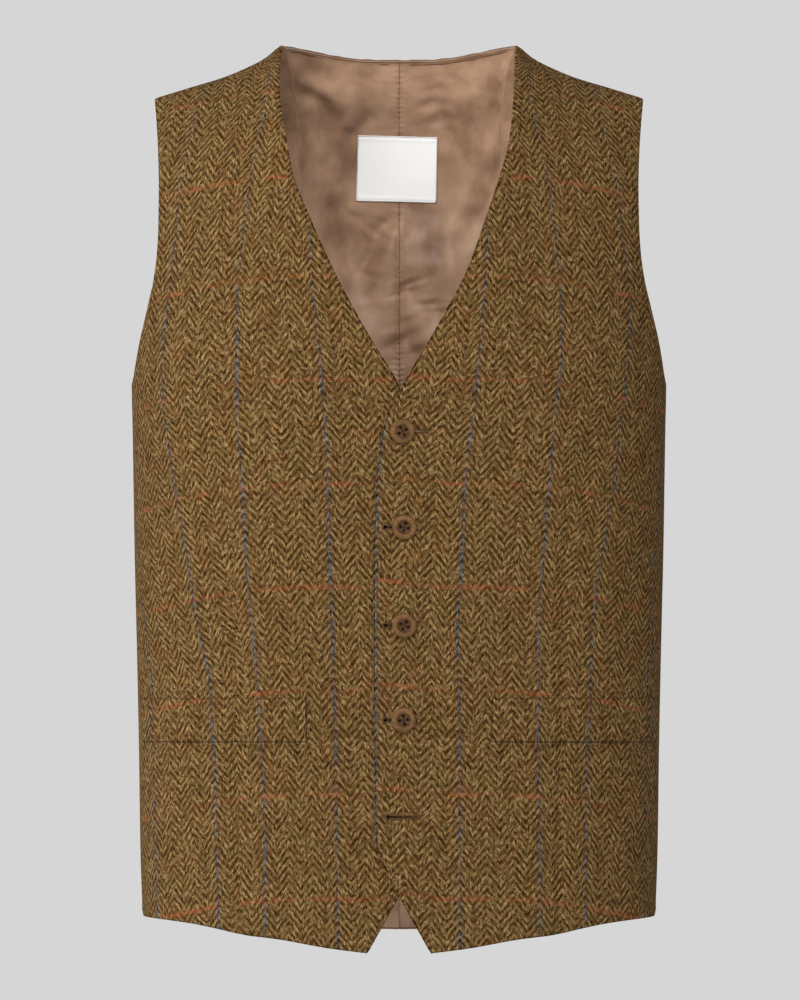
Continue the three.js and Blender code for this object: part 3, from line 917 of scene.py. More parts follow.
@dataclass
class ClothLay:
    """How the tweed is laid on a front: where its blue stripes and red lines run.

    The stripes are given as they are seen from the front on the plane of the shoulders: height, then
    the distance from the centre line of the stripe by the edge, the near, the middle and the far one.
    Between two stripes the place in the cloth is even in length round the section. Below its tip the
    dart takes cloth in, so the part past it is counted back from the far stripe.
    """

    side: Side
    dart_tip: float = -270.0
    height_step: float = 5.0
    angle_step: float = 0.5 * DEGREE
    left_stripes: tuple = CHEST_STRIPES + (
        (-196, -2.1, 56, 113.4, 160.3), (-235.9, -9.5, 51.8, 109.2, 156.1),
        (-280, -14, 46.2, 105.7, 151.2), (-332.5, -15.4, 44.1, 101.2, 142.1),
        (-383.6, -15.7, 41.2, 98, 135.1), (-434, -15.7, 42, 97.3, 133.7),
        (-474.6, -15.7, 42.5, 97.3, 131.6), (-560, -15.8, 42.5, 98.7, 130.9),
        (-600, -15.8, 42.7, 98.7, 130.9),
    )
    right_stripes: tuple = CHEST_STRIPES + (
        (-196, -2.7, 55.3, 113.4, 165.9), (-230.3, -5.5, 52.5, 113.4, 164.5),
        (-274.4, -8.3, 49.7, 109.9, 158.2), (-329, -9.3, 48.7, 107.5, 149.1),
        (-387.1, -11.1, 46.9, 102.6, 139.3), (-424.9, -12.5, 45.5, 98.4, 131.6),
        (-466.2, -13.2, 44.8, 96.6, 129.5), (-524.3, -14.2, 43.8, 93.8, 127.8),
        (-591.5, -15.3, 42.7, 93.8, 126),
    )

    def __post_init__(self) -> None:
        """Works out the lengths round the section, and each stripe's length at every height."""
        self.heights = np.arange(-650.0, 41.0, self.height_step)
        self.angles = np.arange(201) * self.angle_step
        angle, z = np.meshgrid(self.angles, self.heights)
        self.lengths = lengths_along(FIGURE.point(angle, FIGURE.reach_at(angle, z))[..., :2], 1)
        table = self.left_stripes if self.side is Side.LEFT else self.right_stripes
        self.stripes = [self._stripe_length(Curve(table, 0, k)) for k in range(1, 5)]

    def _stripe_length(self, seen: Curve) -> Array:
        """Length round the section of a stripe at each height, from where it is seen to run."""
        scale = np.ones_like(self.heights)
        for _ in range(4):
            x = seen(CAMERA_HEIGHT + (self.heights - CAMERA_HEIGHT) / scale) * scale
            angle = FIGURE.angle_at(x, self.heights)
            y = FIGURE.point(angle, FIGURE.reach_at(angle, self.heights))[..., 1]
            scale = 1 + y / CAMERA_DISTANCE
        return self.length_round(angle, self.heights)

    def length_round(self, angle: Array, z: Array) -> Array:
        """Length round the section from the centre to an angle, read between its table's rows."""
        row = np.clip((z - self.heights[0]) / self.height_step, 0, len(self.heights) - 1.001)
        column = np.clip(np.abs(angle) / self.angle_step, 0, len(self.angles) - 1.001)
        i, j = row.astype(int), column.astype(int)
        s, t = row - i, column - j
        upper = self.lengths[i, j] * (1 - t) + self.lengths[i, j + 1] * t
        lower = self.lengths[i + 1, j] * (1 - t) + self.lengths[i + 1, j + 1] * t
        return np.sign(angle) * (upper * (1 - s) + lower * s)

    def grain(self, angle: Array, z: Array, beyond: bool = False) -> Array:
        """Place in the cloth, across and up the weave.

        Args:
            angle: Angles round the figure, on its own side.
            z: Heights.
            beyond: Whether the places lie past the dart.

        Returns:
            The two lengths in the last axis.
        """
        length = self.length_round(angle, z)
        edge, near, mid, far = (np.interp(z, self.heights, stripe) for stripe in self.stripes)
        held = np.maximum(z, self.dart_tip)
        mid_held, far_held = (np.interp(held, self.heights, stripe) for stripe in self.stripes[2:])
        rate = PANE_WIDTH / (far_held - mid_held)
        if beyond:
            across = 3 * PANE_WIDTH + (length - far) * np.where(length < far, rate, 1)
        else:
            across = np.where(
                length < near,
                PANE_WIDTH + (length - near) * PANE_WIDTH / (near - edge),
                np.where(
                    length < mid,
                    2 * PANE_WIDTH + (length - mid) * PANE_WIDTH / (mid - near),
                    2 * PANE_WIDTH + (length - mid) * rate,
                ),
            )
            past_far = np.where(length > far, 3 * PANE_WIDTH + length - far, across)
            across = np.where(z > self.dart_tip, past_far, across)
        # The weave droops towards the side, and rises by the edge of the over front
        x = FIGURE.half(z) * np.abs(FIGURE.share(np.sin(angle)))
        droop = 16 * (np.maximum(x - 60, 0) / 110) ** 2
        lap_rise = 5 * fade(-15, 40, x * np.sign(angle)) if self.side is Side.LEFT else 0
        return np.stack([across, PROFILE_LENGTH(z + droop - lap_rise)], axis=-1)


@dataclass
class Front:
    """One front of the waistcoat, from the shoulder seam to the pointed hem."""

    side: Side
    finishes: Finishes
    # z, distance of the edge of the over and of the under front from the centre, to its own side
    edges: tuple = (
        (-607.4, 22.3, 22.3), (-562.4, -2.8, -2.8), (-556, -6.2, -6.2), (-529, -15.9, -15.9),
        (-474, -16.6, -16.6), (-335, -17.3, -17.3), (-280, -15.2, -15.2), (-252, -11.8, -11.8),
        (-234, -7.6, -7.6), (-220, 0.6, -1.2), (-211, 4.9, 2.4), (-189.4, 18, 15.8),
        (-165.6, 31.5, 29.8), (-136.4, 47.1, 45.3), (-99.1, 60.7, 62.1), (-66.9, 71.4, 74.8),
        (-48, 76.8, 78.2), (-18.3, 80.5, 83.1), (-4.7, 81.3, 84.4), (11.5, 82.1, 84.4), (24.2, 82.6, 82.6),
    )
    hem: tuple = (
        (22.3, -607.4), (48, -604.1), (83.1, -598), (108.9, -594.9), (126.7, -591), (144.5, -587.7),
        (162.6, -585.6), (179.5, -584.2),
    )
    dart: tuple = (
        (-600, 111.5), (-412, 113.5), (-363, 115), (-308, 118.6), (-273, 125.5), (-220, 127), (0, 127),
    )
    armhole: tuple = (
        (-214, 92), (-211.5, 85.5), (-206, 82), (-194.5, 78), (-184.5, 75.1), (-168, 70.4),
        (-155, 67.3), (-141, 64.5), (-121, 62.4), (-103, 61.7), (-76, 61.5), (-49, 62.1), (-13, 64),
    )
    dart_tip: float = -270.0
    dart_depth: float = 1.5
    dart_half_width: float = 5.0
    lap_top: float = -220.0
    roll_width: float = 1.6
    ridge_off: float = 4.5
    ridge_width: float = 2.2
    facing_columns: int = 36
    left_creases: tuple = creases(
        (25, -250, 23, -512, 6.5, -0.8), (166, -330, 163, -410, 8, -1.3),
        (146, -325, 143, -430, 9, 0.9), (134, -450, 131, -505, 8, -0.9),
        (158, -232, 120, -292, 11, -1), (120, -70, 128, -150, 9, 0.8),
        (95, -100, 88, -175, 9, -0.7), (70, -520, 74, -590, 12, -0.8),
        (160, -515, 158, -575, 9, 0.7),
    )
    right_creases: tuple = creases(
        (160, -318, 157, -418, 8, -1.2), (140, -330, 138, -420, 9, 0.9),
        (154, -234, 118, -300, 11, -1), (124, -62, 131, -140, 9, 0.8),
        (92, -110, 84, -180, 9, -0.7), (66, -500, 70, -585, 12, -0.8),
        (150, -500, 152, -570, 10, -0.8), (120, -520, 122, -580, 9, 0.7),
    )

    def __post_init__(self) -> None:
        """Makes the lines that the cloth's rows and columns are laid to."""
        self.over = self.side is Side.LEFT
        self.edge_half = Curve(self.edges, 0, 1 if self.over else 2)
        self.dart_half = Curve(self.dart)
        self.hem_height = Curve(self.hem)
        self.armhole_angle = Curve(self.armhole)
        self.lay = ClothLay(self.side)
        self.creases = self.left_creases if self.over else self.right_creases

    def places(self) -> tuple[Array, Array, int]:
        """Lays a grid on the front.

        A row is a share of the length of cloth from shoulder to hem. At each row the angle goes
        evenly from the front edge to the dart line, and from there to the side seam and armhole.

        Returns:
            Angles, reaches, and the number of the dart's column.
        """
        lines = (
            lambda z: FIGURE.angle_at(self.edge_half(z), z),
            lambda z: FIGURE.angle_at(self.dart_half(z), z),
            lambda z: np.where(z < FIGURE.underarm, FIGURE.side_seam, self.armhole_angle(z)) * DEGREE,
        )
        ends = np.array([self.hem[0][1], float(self.hem_height(self.dart[0][1])), self.hem[-1][1]])
        hem_angles = np.array([float(line(z)) for line, z in zip(lines, ends)])
        reaches = FIGURE.reach_at(hem_angles, ends)

        def share(k: int, z: float) -> float:
            """Share of the cloth's length that line k has run at height z."""
            return float(FIGURE.reach_at(lines[k](np.array(z)), np.array(z)) / reaches[k])

        turns = [share(2, z) for z in (*ARMHOLE_STOPS, FIGURE.underarm)]
        notch, lap_top = share(0, self.edges[1][0]), share(0, self.lap_top)
        stops = [0, 0.002, 0.006, *turns, lap_top, notch, 0.994, 0.998, 1]
        rows = steps_between(stops, [1, 1, 50, 12, 6, 5, 4, 6, 96, 12, 1, 1])
        columns = steps_between(
            [0, 0.006, 0.012, 0.03, 0.96, 1, 1.04, 1.97, 1.99, 2], [1, 1, 2, 60, 3, 3, 44, 2, 1]
        )

        def between(values: Array) -> Array:
            """Goes evenly over the columns through the values on the three lines."""
            edge, dart, side = (values[..., k : k + 1] for k in range(3))
            return np.where(columns < 1, edge + (dart - edge) * columns, dart + (side - dart) * (columns - 1))

        on_lines = [FIGURE.angle_on_line(line, rows * reach) for line, reach in zip(lines, reaches)]
        angles = between(np.stack(on_lines, axis=-1))
        foot = between(hem_angles)
        foot_x = FIGURE.share(np.sin(np.minimum(foot, 90 * DEGREE))) * FIGURE.half(self.hem[0][1])
        hem_reach = FIGURE.reach_at(foot, self.hem_height(foot_x))
        return angles, rows[:, None] * hem_reach, int(np.searchsorted(columns, 1 - 1e-9))

    def lift(self, x: Array, z: Array, angle: Array) -> Array:
        """How far the cloth stands out from the figure: its sink, dart, creases and slow swell."""
        away = np.abs(x - self.dart_half(z))
        below = smooth((self.dart_tip - z) / 60)
        pinch = -below * (self.dart_depth * bell(away, self.dart_half_width) + 0.5 * bell(away, 1.3))
        in_lap = fade(24, 66, x) * smooth((-205 - z) / 30)
        free = smooth((x - 34) / 30) * fade(66 * DEGREE, 86 * DEGREE, angle) * smooth((10 - z) / 40)
        wrinkled = relief_of(self.creases, x, z) + 0.7 * swell(x + (0 if self.over else 140), z)
        if self.over:
            lapped = 1.1 * fade(12, 23, x) * smooth((-226 - z) / 26)
            return pinch + lapped + wrinkled * np.maximum(free, fade(0, 12, np.abs(x - 24)))
        return -(TWEED_WALL + OVERLAP_GAP) * fade(24, 66, x) + pinch + wrinkled * free * (1 - in_lap)

    def on(self, x: Array, z: Array, lift: Array | float = 0.0) -> Array:
        """Points that stand a lift above the front's face, x and z being on its own side."""
        x, z = np.asarray(x, float), np.asarray(z, float)
        raised = self.lift(x, z, FIGURE.angle_at(x, z)) + lift
        return FIGURE.lifted(x, z, raised) * [self.side.value, 1, 1]

    def build(self) -> bpy.types.Object:
        """Makes the front's cloth, rolled at its free edges and drawn in at the side seam."""
        angle, reach, dart_column = self.places()
        base = FIGURE.point(angle, reach)
        out = FIGURE.outward(angle, reach)
        raised = self.lift(base[..., 0], base[..., 2], angle)
        across, down = lengths_along(base, 1), lengths_along(base, 0)
        to_side = across[:, -1:] - across
        from_hem = down[-1:] - down
        wide = self.roll_width
        roll = bell(across, wide) + bell(from_hem, wide) + 0.8 * bell(to_side, wide)
        ridge = 0.25 * sum(bell(off - self.ridge_off, self.ridge_width) for off in (across, from_hem))
        outer = base + out * (raised + ridge - 0.5 * roll)[..., None]
        inner = base + out * (raised - TWEED_WALL + 0.2 * roll)[..., None]
        for grid in (outer, inner):
            grid[0, np.abs(grid[0, :, 0]) > FIGURE.neck_point - 1, 1] -= SEAM_GAP / 2
            grid[1:, -1, 1] -= SEAM_GAP / 2
            grid[..., 0] *= self.side.value
        rows, columns = angle.shape
        row, column = boundary(rows, columns)
        seam = (row == 0) | ((column == columns - 1) & (base[row, column, 2] < FIGURE.underarm + 2))
        rim = np.where(seam, Rim.SEAM.value, Rim.FREE.value)
        wall = Wall(
            outer, inner, self.lay.grain(angle, base[..., 2]), rim,
            self.lay.grain(angle, base[..., 2], beyond=True), dart_column, facing=self.facing_columns,
        )
        name = f"front_{self.side.name.lower()}"
        piece = wall.build(f"{name}_cloth", (self.finishes.tweed, self.finishes.lining))
        return dressed(piece, name)


@dataclass
class Welt:
    """A welt pocket's strip of tweed, its weave matched to the front that carries it."""

    front: Front
    inner: float = 64.5
    outer: float = 177.5
    inner_top: float = -431.5
    outer_top: float = -432.5
    height: float = 29.5
    length: float = 118.0
    wall: float = 1.6
    stitch: float = 2.4
    weave_shift: tuple = (0.6, -1.4)

    def places(self, across: Array, down: Array) -> tuple[Array, Array]:
        """Finds places on the strip, whose angle goes evenly along it from ends that are upright.

        Args:
            across: Shares along the strip.
            down: Shares down the strip.

        Returns:
            Angles round the figure, and heights.
        """
        x = np.array([self.inner, self.outer])
        tops = np.array([self.inner_top, self.outer_top])
        head, foot = FIGURE.angle_at(x, tops), FIGURE.angle_at(x, tops - self.height)
        ends = [h + (f - h) * down for h, f in zip(head, foot)]
        z = tops[0] + (tops[1] - tops[0]) * across - self.height * down
        return ends[0] + (ends[1] - ends[0]) * across, z

    def build(self) -> bpy.types.Object:
        """Makes the strip on an even grid, its edges rolled."""
        across, down = np.meshgrid(
            steps_between([0, 0.01, 0.03, 0.97, 0.99, 1], [2, 2, 84, 2, 2]),
            steps_between([0, 0.04, 0.12, 0.9, 0.97, 1], [2, 3, 16, 3, 2]),
        )
        angle, z = self.places(across, down)
        reach = FIGURE.reach_at(angle, z)
        base, out = FIGURE.point(angle, reach), FIGURE.outward(angle, reach)
        carried = self.front.lift(base[..., 0], base[..., 2], angle) + SEAM_GAP
        edge_down = np.minimum(down, 1 - down) * self.height
        edge_across = np.minimum(across, 1 - across) * self.length
        roll = bell(edge_down, 1.2) + bell(edge_across, 1.2)
        fullness = 0.6 * smooth(edge_down / 7) * smooth(edge_across / 6)
        outer = base + out * (carried + self.wall + fullness - 0.45 * roll)[..., None]
        inner = base + out * carried[..., None]
        for grid in (outer, inner):
            grid[..., 0] *= self.front.side.value
        grain = self.front.lay.grain(angle, z) + self.weave_shift
        beyond = self.front.lay.grain(angle, z, beyond=True) + self.weave_shift
        split = int(np.argmin(np.abs(base[0, :, 0] - self.front.dart_half(self.inner_top))))
        row, _ = boundary(*angle.shape)
        wall = Wall(outer, inner, grain, np.full(len(row), 0.35), beyond, split)
        name = f"welt_{self.front.side.name.lower()}"
        return dressed(wall.build(f"{name}_cloth", (self.front.finishes.tweed,)), name)

    def seam(self) -> bpy.types.Object:
        """Makes the row of small dark stitches at the strip's ends and its foot: partly the stitching that
        sews it down, partly a painted shadow line under the strip's edge.

        The thread runs down one end, along the foot and up the other, and thins between stitches.
        """
        run = np.linspace(0, 1, 1300)
        corners = np.cumsum([0, self.height, self.length, self.height])
        at = run * corners[-1]
        across = np.interp(at, corners, [-0.003, -0.003, 1.003, 1.003])
        down = np.interp(at, corners, [0.04, 1.012, 1.012, 0.04])
        angle, z = self.places(across, down)
        x = FIGURE.point(angle, FIGURE.reach_at(angle, z))[..., 0]
        path = self.front.on(x, z, 0.35)
        out = unit(self.front.on(x, z, 1.35) - path)
        # painted shadow: the dark thread also stands for the shadow line under the strip's edge
        stitch = 0.5 + 0.5 * np.cos(2 * np.pi * at / self.stitch)
        row = tube(path, out, 0.2 + 0.22 * stitch, 0.16 + 0.22 * stitch, sides=8)
        return threads(f"welt_{self.front.side.name.lower()}_seam", [row], self.front.finishes.brown)


@dataclass
class Back:
    """The satin back and, inside it, its lining, each in two halves sewn down the centre."""

    finishes: Finishes
    armhole: tuple = (
        (-214, 92), (-211.5, 98.5), (-206, 102.5), (-192, 109), (-170, 115.5), (-140, 121.5),
        (-100, 124), (-50, 121), (-13, 116),
    )
    neckline: tuple = (
        (0, 15.8), (22, 16), (37, 17.2), (51, 19.5), (61, 21.3), (71, 23.2), (79, 24.2), (82.6, 24.2),
    )
    hem: tuple = ((0, -597.2), (60, -596), (120, -591), (179.5, -584.2))
    label_box: tuple = (-31.5, 29.5, -86, -35)
    label_fall: float = 3.0
    lining_fall: float = 9.5
    fullness: float = 3.2
    # Folds of the lining that show between the fronts, x being positive to the wearer's left
    lining_creases: tuple = creases(
        (-38, 4, -44, -90, 17, 8), (-80, 6, -50, -18, 7, -4.5),
        (-70, 8, -46, -8, 6, 2), (25, 2, 29, -30, 7, -5.5),
        (-46, -44, -22, -22, 7, -4.4), (-6, -92, -18, -112, 6.5, -5),
        (3, -90, -12, -128, 7, 3), (-22, -116, -28, -136, 7, -5),
        (4, -138, 8, -152, 7.5, -7), (26, -150, 26, -166, 6.5, -5.5),
        (0, -166, 12, -198, 9, -8), (-42, -72, -26, -156, 13, -8.5),
        (72, -58, 58, -104, 10, -5.5), (40, -84, 34, -150, 9, 3.4),
        (16, -96, 18, -140, 8, 2.2), (-30, -200, -12, -330, 12, -3.5),
        (30, -210, 18, -340, 12, -3.2), (-60, -300, -40, -440, 14, -3.5),
        (70, -330, 60, -470, 14, -3.5), (8, -420, 10, -560, 10, -2.5),
    )
    # Folds of the outer back, drawn from the armholes to the waist and hung down the middle
    back_creases: tuple = creases(
        (146, -205, 70, -312, 13, 4.2), (150, -240, 92, -366, 12, -3),
        (-146, -208, -74, -306, 13, 4), (-150, -236, -88, -370, 12, -3),
        (118, -262, 52, -350, 9, 2.6), (-122, -256, -48, -340, 9, 2.6),
        (40, -330, 52, -540, 13, 3.2), (-46, -340, -52, -530, 13, 3.4),
        (70, -60, 64, -190, 14, 2.6), (-72, -50, -60, -196, 14, 2.8),
        (24, -120, 30, -270, 11, -2.4), (-26, -140, -34, -276, 11, -2.2),
        (110, -410, 118, -570, 12, 3), (-112, -400, -122, -566, 12, 2.8),
        (84, -430, 82, -580, 9, -2.2), (-80, -440, -84, -576, 9, -2.4),
    )

    def places(self, rows_spec: tuple[int, ...]) -> tuple[Array, Array, int]:
        """Grid of angles and reaches on one half, and the number of its column at the neck point.

        Args:
            rows_spec: Steps of each stretch of rows, from the neck down to the hem.

        Returns:
            Angles, reaches, and the column that starts the shoulder.
        """
        armhole_angle = Curve(self.armhole)

        def side(z: Array) -> Array:
            """Angle of the side seam and armhole at a height."""
            return np.where(z < FIGURE.underarm, FIGURE.side_seam, armhole_angle(z)) * DEGREE

        hem_x, hem_z = self.hem[-1]
        side_reach = float(FIGURE.reach_at(np.array(FIGURE.side_seam * DEGREE), np.array(hem_z)))
        tip = float(FIGURE.angle_on_line(side, np.array(0.0)))
        neck_angle = float(FIGURE.angle_at(np.array(FIGURE.neck_point), np.array(0.0), True))
        neck = (np.pi - neck_angle) / (np.pi - tip)
        columns = steps_between([0, 0.004, 0.034, neck, 0.97, 0.99, 1], [1, 8, 28, 34, 2, 2])
        heights = (np.array(z) for z in (*ARMHOLE_STOPS, FIGURE.underarm))
        turns = [float(FIGURE.reach_at(side(z), z) / side_reach) for z in heights]
        rows = steps_between([0, 0.003, 0.012, *turns, 0.994, 0.998, 1], (1, 3, *rows_spec, 1, 1))
        top_angle = np.pi + (tip - np.pi) * columns
        foot_angle = np.pi + (FIGURE.side_seam * DEGREE - np.pi) * columns
        top_x = FIGURE.share(np.sin(top_angle)) * FIGURE.widest_half
        foot_x = FIGURE.share(np.sin(np.maximum(foot_angle, 90 * DEGREE))) * hem_x
        top = np.where(columns < neck - 1e-9, FIGURE.reach_at(top_angle, Curve(self.neckline)(top_x)), 0)
        foot = FIGURE.reach_at(foot_angle, Curve(self.hem)(foot_x))
        edge = FIGURE.angle_on_line(side, rows * side_reach)
        angle = np.pi + (edge[:, None] - np.pi) * columns
        reach = top + rows[:, None] * (foot - top)
        return angle, reach, int(np.searchsorted(columns, neck - 1e-9))

    def lining_lift(self, x: Array, z: Array, hold: Array, below_neck: Array) -> Array:
        """How far the lining falls in from the back, never less than nothing.

        It falls most down the middle, less at the label, which holds it, and has its folds on that.

        Args:
            x: Distance to the wearer's left.
            z: Height.
            hold: Share of freedom, 0 where a seam holds the cloth.
            below_neck: Length of cloth down from the neck seam.

        Returns:
            The distance inwards, in millimetres.
        """
        left, right, low, high = self.label_box
        off_x, off_z = np.maximum(left - x, x - right), np.maximum(low - z, z - high)
        off = np.hypot(np.maximum(off_x, 0), np.maximum(off_z, 0))
        loose = smooth(below_neck / 36)
        free = self.lining_fall * loose * (1 - 0.5 * np.minimum(np.abs(x) / 90, 1) ** 2)
        folds = relief_of(self.lining_creases, x, z) + 0.35 * swell(x * 1.4, z * 1.3)
        held = self.label_fall * loose
        gathers = 1 + np.sin(2 * np.pi * z / 3.6 + 1.6 * np.sin(z / 9))
        pucker = 0.7 * bell(x, 4.5) * gathers * fade(-222, -260, z)
        seam = 1 - 0.1 * bell(x, 1.6)
        given = held + (free - held) * smooth(off / 46) + folds * smooth(off / 11)
        return np.maximum(hold * (given * seam + pucker * smooth(off / 4)), 0)

    def back_lift(self, x: Array, z: Array, hold: Array) -> Array:
        """How far the outer back stands out over the lining, 0 where a seam holds it."""
        folds = relief_of(self.back_creases, x, z) + 0.6 * swell(x * 0.8 + 60, z)
        seam = 1 - 0.8 * bell(x, 2.6)
        return np.maximum(hold * seam * (self.fullness + folds), 0)

    def build(self, side: Side, lining: bool) -> bpy.types.Object:
        """Makes one half of the back or of its lining.

        Args:
            side: The half.
            lining: Whether it is the lining inside.

        Returns:
            The piece.
        """
        counts = (128, 36, 14, 8, 3, 96) if lining else (66, 20, 8, 6, 3, 110)
        angle, reach, neck = self.places(counts)
        base, out = FIGURE.point(angle, reach), FIGURE.outward(angle, reach)
        across, down = lengths_along(base, 1), lengths_along(base, 0)
        to_side, from_hem = across[:, -1:] - across, down[-1:] - down
        hold = smooth(down / (7 if lining else 26)) * smooth(from_hem / 30) * smooth(to_side / 30)
        x, z = base[..., 0] * side.value, base[..., 2]
        if lining:
            top = -(SATIN_WALL + SEAM_GAP) - self.lining_lift(x, z, hold, down)
            roll = 0 * top
        else:
            top = self.back_lift(x, z, hold)
            roll = 0.3 * (bell(from_hem, 1.3) + bell(to_side, 1.3))
        outer = base + out * (top - roll)[..., None]
        inner = base + out * (top - SATIN_WALL)[..., None]
        for grid in (outer, inner):
            shoulder = np.abs(grid[0, :, 0]) > FIGURE.neck_point - 1
            grid[0, shoulder, 1] += SEAM_GAP / 2
            grid[1:, -1, 1] += SEAM_GAP / 2
            grid[:, 0, 0] = 0
            grid[..., 0] *= side.value
        grain = np.stack([across, PROFILE_LENGTH(z)], axis=-1) + [0 if side is Side.LEFT else 400, 0]
        row, column = boundary(*angle.shape)
        over_arm = (column == angle.shape[1] - 1) & (base[row, column, 2] > FIGURE.underarm + 2)
        rim = np.where((row == len(angle) - 1) | over_arm, 0.4, 0.08)
        if not lining:
            rim[(row == 0) & (column >= neck)] = 0.9
        name = f"back_lining_{side.name.lower()}" if lining else f"back_{side.name.lower()}"
        finish = self.finishes.lining if lining else self.finishes.back
        piece = Wall(outer, inner, grain, rim).build(f"{name}_cloth", (finish,))
        return dressed(piece, name)

    def neck_roll(self) -> bpy.types.Object:
        """Makes the turned edge of the back neck: an ellipse carried along the neckline.

        It is a little uneven where the seam inside it puckers, and thins out over the neck points.
        """
        x = np.linspace(-FIGURE.neck_point - 1.5, FIGURE.neck_point + 1.5, 181)
        held = np.clip(np.abs(x), 0, FIGURE.neck_point)
        z = Curve(self.neckline)(held)
        path = FIGURE.lifted(np.sign(x) * held, z - 1.2, np.full_like(x, -1.0), behind=True)
        path[:, 0] = np.where(np.abs(x) > held, x, path[:, 0])
        ends = np.sqrt(np.clip(1 - (np.abs(x) / (FIGURE.neck_point + 1.6)) ** 16, 0, 1))
        uneven = 1 + 0.07 * np.sin(x / 2.9) + 0.05 * np.sin(x / 1.7 + 1)
        up = np.broadcast_to([0.0, 0.0, 1.0], path.shape)
        sides = 20
        roll = tube(path, up, 1.1 * uneven * ends, 2.1 * uneven[::-1] * ends, sides)
        grain = np.stack([np.repeat(x, sides), np.tile(np.arange(sides) * 0.6, len(x))], axis=-1)
        return threads("back_neck_roll", [roll], self.finishes.back, grain)


@dataclass
class Label:
    """The bare woven label, sewn on the lining below the back neck and hanging a little askew."""

    back: Back
    x: float = -1.5
    z: float = -58.7
    width: float = 57.6
    height: float = 46.6
    turn: float = -1.4
    wall: float = 0.6

    def spot(self, u: Array, v: Array, lift: Array) -> Array:
        """Points a lift in from the lining at shares u and v of the half width and half height."""
        c, s = np.cos(self.turn * DEGREE), np.sin(self.turn * DEGREE)
        side, up = u * self.width / 2, v * self.height / 2
        x, z = self.x + c * side - s * up, self.z + s * side + c * up
        held = -(2 * SATIN_WALL + SEAM_GAP + LABEL_GAP + self.back.label_fall)
        points = FIGURE.lifted(x, z, held - lift, behind=True)
        level, lifts = np.full_like(x, self.z), np.full_like(x, held)
        line = FIGURE.lifted(x, level, lifts, behind=True)[..., 1]
        rise = np.polynomial.Polynomial.fit(x.ravel(), line.ravel(), 2)
        points[..., 1] += rise(x) - line
        return points

    def build(self) -> bpy.types.Object:
        """Makes the tape: a flat grid that is slightly full between its sewn corners."""
        u, v = np.meshgrid(np.linspace(-1, 1, 73), np.linspace(1, -1, 61))
        waves = 0.55 + 0.25 * np.sin(2.1 * u + 0.6) + 0.2 * np.cos(3 * v + u)
        full = 0.9 * (1 - u**8) * (1 - v**8) * waves
        fold = 0.35 * np.exp(-(((1 - np.abs(v)) * self.height / 2 - 2.2) ** 2) / 1.4)
        inner = self.spot(u, v, full * 0.9)
        outer = self.spot(u, v, full + fold + self.wall)
        grain = np.stack([u * self.width / 2, v * self.height / 2], axis=-1)
        row, _ = boundary(*u.shape)
        wall = Wall(outer, inner, grain, np.full(len(row), 0.3))
        return dressed(wall.build("label_tape", (self.back.finishes.tape,)), "label")

    def stitches(self) -> bpy.types.Object:
        """Makes the rows of small stitches along the label's top and bottom."""
        starts = [(u, v) for v in (0.965, -0.965) for u in np.linspace(-0.95, 0.95, 23)]
        parts = []
        for u, v in starts:
            t = np.linspace(-1, 1, 9)
            path = self.spot(u + t * 0.022, np.full_like(t, v), 1.25 + 0.25 * (1 - t**2))
            size = 0.14 * np.sqrt(np.clip(1.02 - t**2, 0, 1))
            parts.append(tube(path, np.broadcast_to([0.0, -1.0, 0.0], path.shape), size, size, sides=6))
        return threads("label_stitches", parts, self.back.finishes.white)


